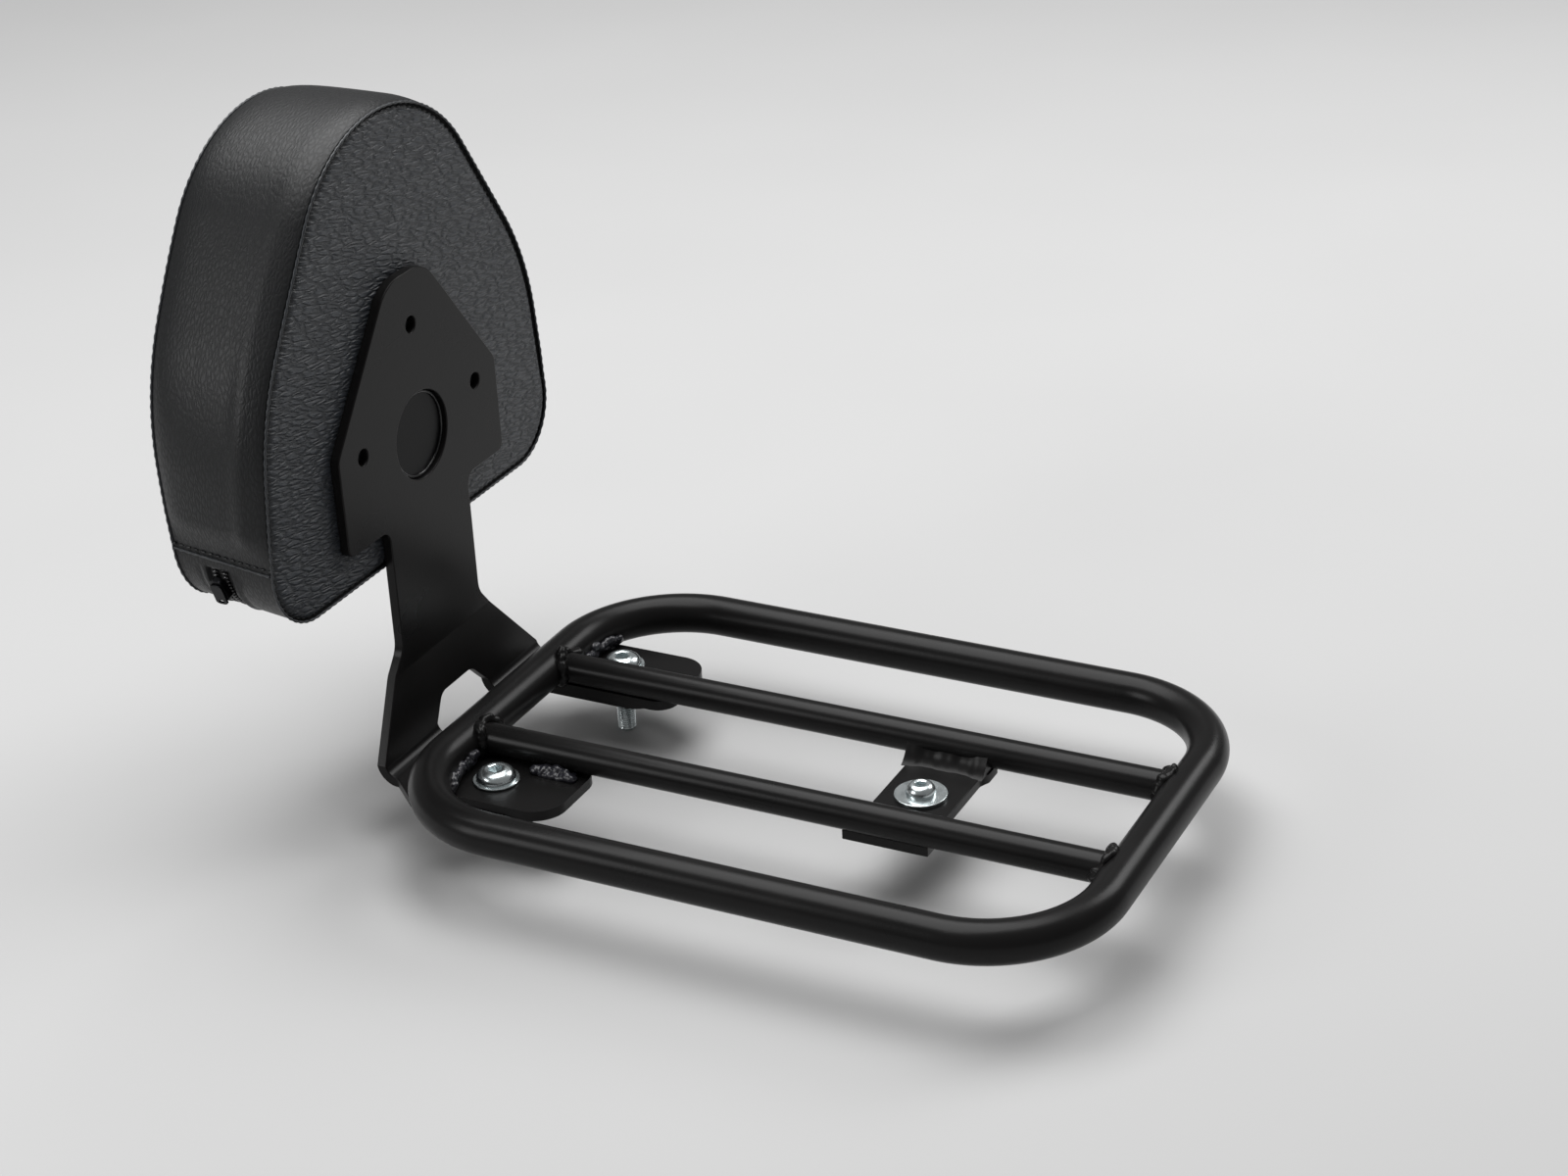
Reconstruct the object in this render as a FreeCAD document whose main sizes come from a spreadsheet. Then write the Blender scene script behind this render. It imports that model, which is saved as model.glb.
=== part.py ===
import FreeCAD, Part
import math
import os
import re
import Sketcher
from FreeCAD import Placement, Rotation, Vector

# Rider backrest with a solo luggage rack, bolted together on one pair of bolts.
# X is the rider's right, Y is forward and Z is up. The origin lies between the
# two front bolts, on the underside of the backrest's feet. Sizes are millimetres.
SIZES = {
    # rack of bent tube
    "rack_length": 282,
    "rack_width": 200,
    "rack_bend_radius": 45,
    "front_tube_offset": 21.5,
    "tube_diameter": 16,
    "tube_wall": 2,
    "vent_diameter": 4,
    "bar_diameter": 12,
    "bar_wall": 1.5,
    "bar_spacing": 60.5,
    "weld_leg": 4,
    # plates welded under the rack
    "front_bracket_thickness": 4,
    "front_bracket_inner_margin": 21.5,
    "front_bracket_outer_margin": 16,
    "front_bracket_reach": 32,
    "front_bracket_radius": 12,
    "strap_thickness": 4,
    "strap_distance": 152.5,
    "strap_depth": 34,
    "strap_overhang": 2,
    "strap_waist": 4,
    "strap_radius": 5,
    # backrest plate, bent at the crank and above the feet
    "plate_thickness": 4,
    "bend_radius": 5,
    "leg_lean": 13,
    "crank_height": 34.7,
    "head_distance": 50.5,
    "head_top": 186.5,
    "head_top_width": 25.4,
    "head_top_radius": 18,
    "head_width": 108,
    "head_side_top": 132.5,
    "head_side_bottom": 93.3,
    "head_corner_radius": 6,
    "head_lower_radius": 3.5,
    "neck_width": 55,
    "neck_radius": 5,
    "flare_height": 43,
    "flare_radius": 10,
    "leg_outer_width": 112,
    "leg_inner_width": 38,
    "window_top": 17,
    "window_top_width": 22,
    "window_radius": 7,
    "foot_width": 36,
    "foot_reach": 21.5,
    "foot_taper": 12,
    "foot_radius": 11,
    "cap_hole_diameter": 34.5,
    "cap_hole_height": 121.5,
    "cap_thickness": 1.6,
    "cap_rim_height": 2.4,
    "cap_rim_width": 1.3,
    "cap_play": 0.4,
    # bolts
    "bolt_spacing": 97,
    "bolt_diameter": 8,
    "bolt_reach": 20,
    "bolt_flange_diameter": 17.8,
    "bolt_flange_thickness": 1.8,
    "bolt_head_diameter": 14,
    "bolt_head_height": 4.6,
    "bolt_socket": 5,
    "rear_bolt_diameter": 6,
    "rear_bolt_reach": 18,
    "rear_bolt_head_diameter": 10.5,
    "rear_bolt_head_height": 3.3,
    "rear_bolt_socket": 4,
    "rear_washer_diameter": 20,
    "rear_washer_thickness": 1.5,
    "thread_relief": 0.32,
    "hole_play": 0.4,
    # pad and its fixing
    "pad_bottom": 78,
    "pad_height": 170,
    "pad_base_width": 196,
    "pad_base_radius": 24,
    "pad_front_base_width": 177,
    "pad_shoulder_width": 177.4,
    "pad_front_shoulder_width": 169,
    "pad_shoulder_height": 84,
    "pad_shoulder_radius": 105,
    "pad_top_radius": 61,
    "pad_depth": 60,
    "pad_crown_radius": 500,
    "cover_thickness": 1.5,
    "board_thickness": 8,
    "board_inset": 10,
    "pad_screw_spacing": 77.5,
    "pad_screw_low": 128.2,
    "pad_screw_high": 166,
    "pad_screw_diameter": 6,
    "pad_screw_recess": 2.4,
    "pad_screw_head_diameter": 11,
    "pad_screw_head_height": 4,
    "pad_screw_socket": 4,
    "pad_washer_diameter": 18,
    "pad_washer_thickness": 1.6,
    # zip in the pad's bottom band
    "zip_band_height": 28,
    "zip_offset": 27.5,
    "zip_gap": 10,
    "zip_tape_thickness": 0.7,
    "zip_coil_width": 4.6,
    "zip_coil_height": 1.2,
    "zip_slider_turn": 20,
    "zip_slider_length": 11,
    "zip_slider_width": 7,
    "zip_slider_height": 2.6,
    "zip_pull_length": 17,
    "zip_pull_width": 5,
    "zip_pull_thickness": 1.2,
}

SIDES = (("left", -1), ("right", 1))

# Levels and places that follow from the sizes above.
RACK_LEVEL = "(plate_thickness + front_bracket_thickness + bar_diameter / 2)"
RACK_CENTRE = "(front_tube_offset - (rack_length - tube_diameter) / 2)"
TUBE_HALF_LENGTH = "((rack_length - tube_diameter) / 2)"
TUBE_HALF_WIDTH = "((rack_width - tube_diameter) / 2)"
BAR_UNDERSIDE = "(plate_thickness + front_bracket_thickness)"
BRACKET_INNER = "(bolt_spacing / 2 - front_bracket_inner_margin)"
BRACKET_OUTER = "(bolt_spacing / 2 + front_bracket_outer_margin)"
BRACKET_FRONT = "(front_tube_offset - sqrt((tube_diameter / 2) ^ 2 - (bar_diameter / 2) ^ 2))"
LEAN = "leg_lean * 1 deg"
TURN = "(90 - leg_lean) / 2 * 1 deg"
BEND_TANGENT = f"(bend_radius * tan({TURN}))"
LEG_AT_FOOT = f"(head_distance - (crank_height - plate_thickness) * tan({LEAN}))"
CRANK_FRONT = f"(crank_height - plate_thickness * tan({LEAN} / 2))"
BEND_END = f"({LEG_AT_FOOT} - {BEND_TANGENT})"
BEND_TOP = f"(plate_thickness + {BEND_TANGENT} * cos({LEAN}))"
FOOT_INNER = "(bolt_spacing / 2 - foot_width / 2)"
FOOT_OUTER = "(bolt_spacing / 2 + foot_width / 2)"
PAD_REAR = "(head_distance + plate_thickness)"
PAD_CORE_REAR = f"({PAD_REAR} + cover_thickness)"
ZIP_CENTRE = f"({PAD_REAR} + zip_offset)"
ZIP_BAND_TOP = "(pad_bottom + zip_band_height)"
PAD_FLOOR = "(pad_bottom / 2)"
PAD_CEILING = "(pad_bottom + 2 * pad_height)"
PAD_BEYOND = f"({PAD_REAR} + 2 * pad_depth)"

doc = FreeCAD.newDocument("rider_backrest")
sheet = doc.addObject("Spreadsheet::Sheet", "Sizes")
for row, (name, number) in enumerate(SIZES.items(), start=1):
    sheet.set(f"A{row}", name)
    sheet.set(f"B{row}", str(number))
    sheet.setAlias(f"B{row}", name)
doc.recompute()

PLANES = {
    "XY": Rotation(),
    "XZ": Rotation(Vector(1, 0, 0), 90),
    "YZ": Rotation(Vector(1, 1, 1), 120),
}
ALONG_Y = Rotation(Vector(1, 0, 0), -90)
FACING_BACK = Rotation(Vector(1, 0, 0), 90)

nodes = []


# Helpers: binding to the sheet
def bound(text):
    """The expression with every size name pointed at its cell."""
    def cell(match):
        word = match.group()
        return f"Sizes.{word}" if word in SIZES else word
    return re.sub(r"[a-z_]+", cell, text)


def value(text):
    """The expression's number, as the sheet works it out."""
    return float(sheet.evalExpression(text))


def bind(item, **properties):
    for name, text in properties.items():
        item.setExpression(name, bound(text))


def place(item, x="0", y="0", z="0", turned=Rotation()):
    """Turn an object and bind its place to the sheet."""
    item.Placement = Placement(Vector(value(x), value(y), value(z)), turned)
    for axis, text in (("x", x), ("y", y), ("z", z)):
        item.setExpression(f"Placement.Base.{axis}", bound(text))
    return item


def node(item, label):
    """Give a finished sub-part its name and put it on the list."""
    item.Label = label
    nodes.append(item)
    return item


# Helpers: sketches
class Rules:
    """Constraints of one sketch, gathered first and then added together."""

    def __init__(self, sketch):
        self.sketch = sketch
        self.constraints = []
        self.bindings = []

    def add(self, kind, *where):
        self.constraints.append(Sketcher.Constraint(kind, *where))

    def add_size(self, kind, *where, text):
        self.bindings.append((len(self.constraints), text))
        self.add(kind, *where, value(text))

    def locate(self, item, point, x, y):
        """Bind a point to its distances from the sketch's origin."""
        self.add_size("DistanceX", -1, 1, item, point, text=x)
        self.add_size("DistanceY", -1, 1, item, point, text=y)

    def apply(self):
        first = len(self.sketch.Constraints)
        self.sketch.addConstraint(self.constraints)
        for index, text in self.bindings:
            self.sketch.setExpression(f"Constraints[{first + index}]", bound(text))


def tangent_points(before, corner, after):
    """Expressions for the two ends of the arc that rounds a corner."""
    x, y, radius = corner
    if radius is None:
        return (x, y), (x, y)
    ax, ay = (f"({before[k]} - ({corner[k]}))" for k in (0, 1))
    bx, by = (f"({after[k]} - ({corner[k]}))" for k in (0, 1))
    a_length = f"sqrt({ax} ^ 2 + {ay} ^ 2)"
    b_length = f"sqrt({bx} ^ 2 + {by} ^ 2)"
    across = f"abs({ax} * {by} - {ay} * {bx})"
    run = f"({radius}) * ({a_length} * {b_length} + {ax} * {bx} + {ay} * {by}) / {across}"
    arrives = tuple(f"{start} + {step} / {a_length} * {run}" for start, step in ((x, ax), (y, ay)))
    leaves = tuple(f"{start} + {step} / {b_length} * {run}" for start, step in ((x, bx), (y, by)))
    return arrives, leaves


def point(pair):
    return Vector(value(pair[0]), value(pair[1]), 0)


def arc_middle(start, corner, end, radius):
    """Middle of the arc between two tangent points."""
    inward = ((start - corner).normalize() + (end - corner).normalize()).normalize()
    half = (start - corner).getAngle(end - corner) / 2
    return corner + inward * (radius / math.sin(half) - radius)


def outline(sketch, corners):
    """Closed outline through (x, y, radius) corners; a radius of None stays sharp."""
    count = len(corners)
    ends = [tangent_points(corners[i - 1], corners[i], corners[(i + 1) % count]) for i in range(count)]
    rules = Rules(sketch)
    lines = []
    for i in range(count):
        leaves = ends[i][1]
        arrives = ends[(i + 1) % count][0]
        line = sketch.addGeometry(Part.LineSegment(point(leaves), point(arrives)))
        rules.locate(line, 1, *leaves)
        if corners[(i + 1) % count][2] is not None:
            rules.locate(line, 2, *arrives)
        lines.append(line)
    for i, (x, y, radius) in enumerate(corners):
        if radius is None:
            rules.add("Coincident", lines[i - 1], 2, lines[i], 1)
            continue
        start, end = (point(pair) for pair in ends[i])
        corner = point((x, y))
        middle = arc_middle(start, corner, end, value(radius))
        if (corner - start).cross(end - corner).z > 0:
            arc = sketch.addGeometry(Part.Arc(start, middle, end))
            first, last = 1, 2
        else:
            arc = sketch.addGeometry(Part.Arc(end, middle, start))
            first, last = 2, 1
        rules.add("Coincident", lines[i - 1], 2, arc, first)
        rules.add("Coincident", lines[i], 1, arc, last)
        rules.add_size("Radius", arc, text=radius)
    rules.apply()


def circle(sketch, x, y, diameter):
    ring = Part.Circle(Vector(value(x), value(y), 0), Vector(0, 0, 1), value(diameter) / 2)
    item = sketch.addGeometry(ring)
    rules = Rules(sketch)
    rules.locate(item, 3, x, y)
    rules.add_size("Diameter", item, text=diameter)
    rules.apply()


def hexagon(sketch, across_flats):
    """Six-sided socket round the sketch's origin."""
    corners = []
    for k in range(6):
        reach = f"({across_flats}) / 2 / cos(30 deg)"
        corners.append((f"{reach} * cos({60 * k} deg)", f"{reach} * sin({60 * k} deg)", None))
    outline(sketch, corners)


def mirrored(half):
    """A whole outline from its right half, listed from top to bottom."""
    return half + [(f"-({x})", y, radius) for x, y, radius in reversed(half)]


def free_sketch(name, plane, x="0", y="0", z="0"):
    """A sketch of its own, for extrusions that are then combined."""
    return place(doc.addObject("Sketcher::SketchObject", name), x, y, z, PLANES[plane])


# Helpers: bodies and solids
def new_body(label, x="0", y="0", z="0", turned=Rotation()):
    return node(place(doc.addObject("PartDesign::Body", label), x, y, z, turned), label)


def body_sketch(body, name, plane):
    """A sketch on one of the body's own origin planes."""
    sketch = body.newObject("Sketcher::SketchObject", f"{body.Name}_{name}")
    support = [item for item in body.Origin.OriginFeatures if item.Role == f"{plane}_Plane"]
    sketch.AttachmentSupport = [(support[0], "")]
    sketch.MapMode = "FlatFace"
    return sketch


def feature(body, kind, name, profile, **settings):
    item = body.newObject(f"PartDesign::{kind}", f"{body.Name}_{name}")
    item.Profile = profile
    for key, setting in settings.items():
        setattr(item, key, setting)
    return item


def pad(body, profile, thickness, **settings):
    bind(feature(body, "Pad", "pad", profile, **settings), Length=thickness)


def pocket(body, name, profile, depth, **settings):
    bind(feature(body, "Pocket", name, profile, **settings), Length=depth)


def extrusion(name, base, direction, length, symmetric=False):
    item = doc.addObject("Part::Extrusion", name)
    item.Base = base
    item.DirMode = "Custom"
    item.Dir = direction
    item.Solid = True
    item.Symmetric = symmetric
    bind(item, LengthFwd=length)
    return item


def cylinder(name, diameter, length, x="0", y="0", z="0", turned=Rotation()):
    item = doc.addObject("Part::Cylinder", name)
    bind(item, Radius=f"({diameter}) / 2", Height=length)
    return place(item, x, y, z, turned)


def box(name, width, depth, height, x, y, z):
    item = doc.addObject("Part::Box", name)
    bind(item, Length=width, Width=depth, Height=height)
    return place(item, x, y, z)


def combined(kind, name, shapes):
    item = doc.addObject(f"Part::{kind}", name)
    item.Shapes = shapes
    return item


def cut(name, base, tool):
    item = doc.addObject("Part::Cut", name)
    item.Base = base
    item.Tool = tool
    return item


def disc(label, outer, inner, thickness, x, y, z, turned=Rotation()):
    """Flat round washer."""
    body = new_body(label, x, y, z, turned)
    profile = body_sketch(body, "profile", "XY")
    circle(profile, "0", "0", outer)
    circle(profile, "0", "0", inner)
    pad(body, profile, thickness)


def button_bolt(label, prefix, grip, thread, x, y, z, turned=Rotation(), flange=None):
    """Domed socket-head bolt: the seat at the body's origin, then plain shank and thread."""
    body = new_body(label, x, y, z, turned)
    half = body_sketch(body, "half", "XZ")
    shank = f"{prefix}_diameter / 2"
    head = f"{prefix}_head_diameter / 2"
    height = f"{prefix}_head_height"
    chamfer = f"{prefix}_diameter / 8"
    crest = f"{shank} - thread_relief"
    tip = f"-({grip}) - ({thread})"
    corners = [("0", tip, None), (f"{crest} - {chamfer}", tip, None), (crest, f"{tip} + {chamfer}", None)]
    corners += [(crest, f"-({grip})", None), (shank, f"-({grip})", None), (shank, "0", None)]
    if flange:
        flange_edge = f"{flange}_diameter / 2"
        flange_top = f"{flange}_thickness"
        corners += [(flange_edge, "0", None), (flange_edge, f"{flange_top} / 2", None)]
        corners += [(head, flange_top, None)]
    else:
        corners += [(head, "0", None)]
    corners += [(head, height, f"{height} * 0.6"), ("0", height, None)]
    outline(half, corners)
    feature(body, "Revolution", "turned", half, ReferenceAxis=(half, ["V_Axis"]), Angle=360.0)
    socket = body_sketch(body, "socket", "XY")
    hexagon(socket, f"{prefix}_socket")
    bind(socket, **{"AttachmentOffset.Base.z": height})
    pocket(body, "hexagon", socket, f"{height} * 0.65")


# Rack ring: one bent tube, closed on itself, with a vent hole under the rear run
def ring_pipe(name, diameter):
    """Round rod of one diameter along the ring's centreline."""
    body = place(doc.addObject("PartDesign::Body", name), y=RACK_CENTRE, z=RACK_LEVEL)
    path = body_sketch(body, "path", "XY")
    half = [(TUBE_HALF_WIDTH, TUBE_HALF_LENGTH, "rack_bend_radius")]
    half += [(TUBE_HALF_WIDTH, f"-{TUBE_HALF_LENGTH}", "rack_bend_radius")]
    outline(path, mirrored(half))
    section = body_sketch(body, "section", "XZ")
    circle(section, TUBE_HALF_WIDTH, "0", diameter)
    feature(body, "AdditivePipe", "pipe", section, Spine=(path, []))
    return body


def rack_ring(envelope):
    bore = ring_pipe("ring_bore", "tube_diameter - 2 * tube_wall")
    vent = cylinder("ring_vent", "vent_diameter", "tube_diameter / 2",
                    "0", f"{RACK_CENTRE} - {TUBE_HALF_LENGTH}", f"{RACK_LEVEL} - tube_diameter / 2")
    hollow = combined("MultiFuse", "ring_hollow", [bore, vent])
    node(cut("rack_ring", envelope, hollow), "rack_ring")


# Rack bars: thinner tubes along the rack, saddle-cut to sit on the ring
def rack_bar(side, sign):
    body = new_body(f"rack_bar_{side}", f"{sign} * bar_spacing / 2", RACK_CENTRE, RACK_LEVEL)
    section = body_sketch(body, "section", "XZ")
    circle(section, "0", "0", "bar_diameter")
    circle(section, "0", "0", "bar_diameter - 2 * bar_wall")
    pad(body, section, f"2 * {TUBE_HALF_LENGTH}", Midplane=True)
    saddles = body_sketch(body, "saddles", "YZ")
    for end in ("", "-"):
        circle(saddles, f"{end}{TUBE_HALF_LENGTH}", "0", "tube_diameter")
    pocket(body, "saddle_cut", saddles, "2 * bar_diameter", Midplane=True)


# Front brackets: flat plates under the bars, coped to the front tube and its bends
def front_bracket(side, sign, envelope):
    label = f"front_bracket_{side}"
    body = place(doc.addObject("PartDesign::Body", f"{label}_blank"), z="plate_thickness")
    profile = body_sketch(body, "profile", "XY")
    inner = f"{sign} * {BRACKET_INNER}"
    outer = f"{sign} * {BRACKET_OUTER}"
    corners = [(inner, BRACKET_FRONT, None), (inner, "-front_bracket_reach", None)]
    corners += [(outer, "-front_bracket_reach", "front_bracket_radius"), (outer, BRACKET_FRONT, None)]
    outline(profile, corners)
    circle(profile, f"{sign} * bolt_spacing / 2", "0", "bolt_diameter + hole_play")
    pad(body, profile, "front_bracket_thickness")
    node(cut(label, body, envelope), label)


# Rear strap: flat waisted cross plate under both bars, with one bolt hole
def rear_strap():
    body = new_body("rear_strap", y="-strap_distance", z=f"{BAR_UNDERSIDE} - strap_thickness")
    profile = body_sketch(body, "profile", "XY")
    edge = "bar_spacing / 2 + strap_overhang"
    flare = "bar_spacing / 2 - bar_diameter / 2"
    outline(profile, mirrored([
        (f"{flare} - strap_waist", "strap_depth / 2 - strap_waist / 2", "strap_radius"),
        (flare, "strap_depth / 2", None),
        (edge, "strap_depth / 2", None),
        (edge, "-strap_depth / 2", None),
        (flare, "-strap_depth / 2", None),
        (f"{flare} - strap_waist", "strap_waist / 2 - strap_depth / 2", "strap_radius"),
    ]))
    circle(profile, "0", "0", "rear_bolt_diameter + hole_play")
    pad(body, profile, "strap_thickness")


# Weld beads: collars where the bars meet the ring, fillets along the plates
def weld_collar(name, sign, end, neighbours):
    """Ball of weld round one end of a bar, cut back to the bar and what it joins."""
    axis_x = f"{sign} * bar_spacing / 2"
    axis_y = f"{RACK_CENTRE} + {end} * {TUBE_HALF_LENGTH}"
    ball = doc.addObject("Part::Sphere", f"{name}_ball")
    bind(ball, Radius="tube_diameter / 2")
    place(ball, axis_x, f"{axis_y} - {end} * 1.5 * weld_leg", RACK_LEVEL, ALONG_Y)
    bar = cylinder(f"{name}_bar", "bar_diameter", "2 * tube_diameter + 4 * weld_leg",
                   axis_x, f"{axis_y} - tube_diameter - 2 * weld_leg", RACK_LEVEL, ALONG_Y)
    return cut(name, ball, combined("MultiFuse", f"{name}_clear", [bar] + neighbours))


def weld_along_bar(name, sign, inward, start, length):
    """Fillet between a bar's side and the plate that it rests on."""
    axis = f"{sign} * bar_spacing / 2"
    away = sign * inward
    section = free_sketch(f"{name}_section", "XZ", y=start)
    reach = f"{axis} + {away} * (bar_diameter / 2 + weld_leg)"
    outline(section, [
        (axis, BAR_UNDERSIDE, None),
        (reach, BAR_UNDERSIDE, None),
        (f"{axis} + {away} * bar_diameter / 2", f"{BAR_UNDERSIDE} + weld_leg", None),
    ])
    bead = extrusion(f"{name}_bead", section, Vector(0, 1, 0), length)
    bar = cylinder(f"{name}_bar", "bar_diameter", length, axis, start, RACK_LEVEL, ALONG_Y)
    return cut(name, bead, bar)


def weld_along_tube(name, sign, envelope):
    """Fillet between the front tube and the top of a front bracket."""
    start = "(bar_spacing / 2 + bar_diameter)"
    length = f"({BRACKET_OUTER} - {start})"
    left_end = start if sign > 0 else f"-{BRACKET_OUTER}"
    section = free_sketch(f"{name}_section", "YZ", x=left_end)
    outline(section, [
        (f"{BRACKET_FRONT} - weld_leg", BAR_UNDERSIDE, None),
        (BRACKET_FRONT, BAR_UNDERSIDE, None),
        ("front_tube_offset - tube_diameter / 2", RACK_LEVEL, None),
    ])
    bead = extrusion(f"{name}_bead", section, Vector(1, 0, 0), length)
    return cut(name, bead, envelope)


def welds(envelope):
    collars = []
    plates = []
    straps = []
    for side, sign in SIDES:
        floor = box(f"collar_floor_{side}", "2 * tube_diameter", "2 * tube_diameter", "tube_diameter",
                    f"{sign} * bar_spacing / 2 - tube_diameter", "front_tube_offset - 2 * tube_diameter",
                    f"{RACK_LEVEL} - bar_diameter / 4 - tube_diameter")
        collars.append(weld_collar(f"collar_front_{side}", sign, 1, [envelope, floor]))
        collars.append(weld_collar(f"collar_rear_{side}", sign, -1, [envelope]))
        plates.append(weld_along_tube(f"bead_tube_{side}", sign, envelope))
        plates.append(weld_along_bar(f"bead_bar_{side}", sign, 1,
                                     "weld_leg - front_bracket_reach", "front_bracket_reach / 2"))
        straps.append(weld_along_bar(f"bead_strap_{side}", sign, -1,
                                     "-strap_distance - strap_depth / 2", "strap_depth"))
    for label, beads in (("weld_bar_ends", collars), ("weld_brackets", plates), ("weld_strap", straps)):
        group = doc.addObject("Part::Compound", label)
        group.Links = beads
        node(group, label)


# Backrest plate: the bent sheet, trimmed by its outline seen from behind and from above
def backrest_bracket():
    side = free_sketch("bracket_side", "YZ")
    outer_radius = "bend_radius + plate_thickness"
    front = f"({PAD_REAR} - {CRANK_FRONT} * tan({LEAN}))"
    outline(side, [
        ("head_distance", "head_top + plate_thickness", None),
        ("head_distance", "crank_height", "bend_radius"),
        (LEG_AT_FOOT, "plate_thickness", "bend_radius"),
        ("-foot_reach", "plate_thickness", None),
        ("-foot_reach", "0", None),
        (front, "0", outer_radius),
        (PAD_REAR, CRANK_FRONT, outer_radius),
        (PAD_REAR, "head_top + plate_thickness", None),
    ])
    sheet_metal = extrusion("bracket_sheet", side, Vector(1, 0, 0), f"head_width + 2 * {FOOT_OUTER}", True)

    face = free_sketch("bracket_face", "XZ", y=BEND_END)
    outline(face, mirrored([
        ("head_top_width / 2", "head_top", "head_top_radius"),
        ("head_width / 2", "head_side_top", "head_corner_radius"),
        ("head_width / 2", "head_side_bottom", "head_lower_radius"),
        ("neck_width / 2", "head_side_bottom", "neck_radius"),
        ("neck_width / 2", "flare_height", "flare_radius"),
        ("leg_outer_width / 2", BEND_TOP, None),
        ("leg_outer_width / 2", "-plate_thickness", None),
        ("leg_inner_width / 2", "-plate_thickness", None),
        ("leg_inner_width / 2", BEND_TOP, None),
        ("window_top_width / 2", "window_top", "window_radius"),
    ]))
    circle(face, "0", "cap_hole_height", "cap_hole_diameter")
    for x, z in pad_screw_places():
        circle(face, x, z, "pad_screw_diameter + hole_play")
    upright = extrusion("bracket_upright", face, Vector(0, 1, 0), "head_distance")

    plan = free_sketch("bracket_plan", "XY", z="-plate_thickness")
    for _, sign in SIDES:
        outline(plan, [
            (f"{sign} * leg_inner_width / 2", BEND_END, None),
            (f"{sign} * {FOOT_INNER}", f"{BEND_END} - foot_taper", None),
            (f"{sign} * {FOOT_INNER}", "-foot_reach", "foot_radius"),
            (f"{sign} * {FOOT_OUTER}", "-foot_reach", "foot_radius"),
            (f"{sign} * {FOOT_OUTER}", f"{BEND_END} - foot_taper", None),
            (f"{sign} * leg_outer_width / 2", BEND_END, None),
        ])
        circle(plan, f"{sign} * bolt_spacing / 2", "0", "bolt_diameter + hole_play")
    feet = extrusion("bracket_feet", plan, Vector(0, 0, 1), "3 * plate_thickness")

    trimmed = []
    for item in (upright, feet):
        trimmed.append(combined("MultiCommon", f"{item.Name}_bent", [sheet_metal, item]))
    node(combined("MultiFuse", "backrest_bracket", trimmed), "backrest_bracket")


# Cap: a shallow rimmed disc in the head's large hole, resting on the pad
def centre_cap():
    body = new_body("centre_cap", y=PAD_REAR, z="cap_hole_height", turned=FACING_BACK)
    half = body_sketch(body, "half", "XZ")
    edge = "(cap_hole_diameter - cap_play) / 2"
    outline(half, [
        ("0", "0", None),
        (edge, "0", None),
        (edge, "cap_rim_height", "cap_rim_width / 3"),
        (f"{edge} - cap_rim_width", "cap_rim_height", "cap_rim_width / 3"),
        (f"{edge} - cap_rim_width", "cap_thickness", None),
        ("0", "cap_thickness", None),
    ])
    feature(body, "Revolution", "turned", half, ReferenceAxis=(half, ["V_Axis"]), Angle=360.0)


# Pad fixing: three screws from inside the pad, through the board into the plate
def pad_screw_places():
    low = [(f"{sign} * pad_screw_spacing / 2", "pad_screw_low") for _, sign in SIDES]
    return [("0", "pad_screw_high")] + low


def pad_fixings():
    seat = f"({PAD_CORE_REAR} + board_thickness)"
    under_head = f"({seat} + pad_washer_thickness)"
    grip = f"({under_head} - {PAD_REAR})"
    for word, (x, z) in zip(("top", "left", "right"), pad_screw_places()):
        disc(f"pad_washer_{word}", "pad_washer_diameter", "pad_screw_diameter + hole_play",
             "pad_washer_thickness", x, seat, z, ALONG_Y)
        button_bolt(f"pad_screw_{word}", "pad_screw", grip, "plate_thickness - pad_screw_recess",
                    x, under_head, z, ALONG_Y)


# Pad: an outline with a round top, sloping shoulders and a straight base, narrower in front
def pad_outline(name, y, base_width, shoulder_width):
    top_centre = "(pad_height - pad_top_radius - pad_shoulder_height)"
    shoulder = f"({shoulder_width} / 2)"
    slope = (f"atan({top_centre} / {shoulder})"
             f" + asin(pad_top_radius / sqrt({shoulder} ^ 2 + {top_centre} ^ 2))")
    peak = f"pad_shoulder_height + {shoulder} * tan({slope})"
    sketch = free_sketch(name, "XZ", y=y, z="pad_bottom")
    outline(sketch, [
        ("0", peak, "pad_top_radius"),
        (shoulder, "pad_shoulder_height", "pad_shoulder_radius"),
        (f"{base_width} / 2", "0", "pad_base_radius"),
        (f"-{base_width} / 2", "0", "pad_base_radius"),
        (f"-{shoulder}", "pad_shoulder_height", "pad_shoulder_radius"),
    ])


def inset_outline(name, source, inset):
    """One of the pad's outlines, drawn in by the inset if there is one."""
    base = doc.getObject(source)
    if not inset:
        return base
    ring = doc.addObject("Part::Offset2D", f"{name}_{source}")
    ring.Source = base
    bind(ring, Value=f"-({inset})")
    return ring


def pad_sheet(name, inset, start, thickness):
    """Flat sheet of the rear outline's shape, some way ahead of the pad's back."""
    item = extrusion(name, inset_outline(name, "pad_rear_outline", inset), Vector(0, 1, 0), thickness)
    return place(item, y=start)


def pad_block(name, inset):
    """The pad's full depth, lofted from the rear outline to the front one."""
    item = doc.addObject("Part::Loft", name)
    ends = ("pad_rear_outline", "pad_front_outline")
    item.Sections = [inset_outline(name, source, inset) for source in ends]
    item.Solid = True
    item.Ruled = True
    return item


def crown(name, inset):
    """Large ball whose front gives the pad its crowned face."""
    item = doc.addObject("Part::Sphere", name)
    bind(item, Radius=f"pad_crown_radius - ({inset})")
    return place(item, y=f"{PAD_REAR} + pad_depth - pad_crown_radius", z="pad_bottom + pad_height / 2")


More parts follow.
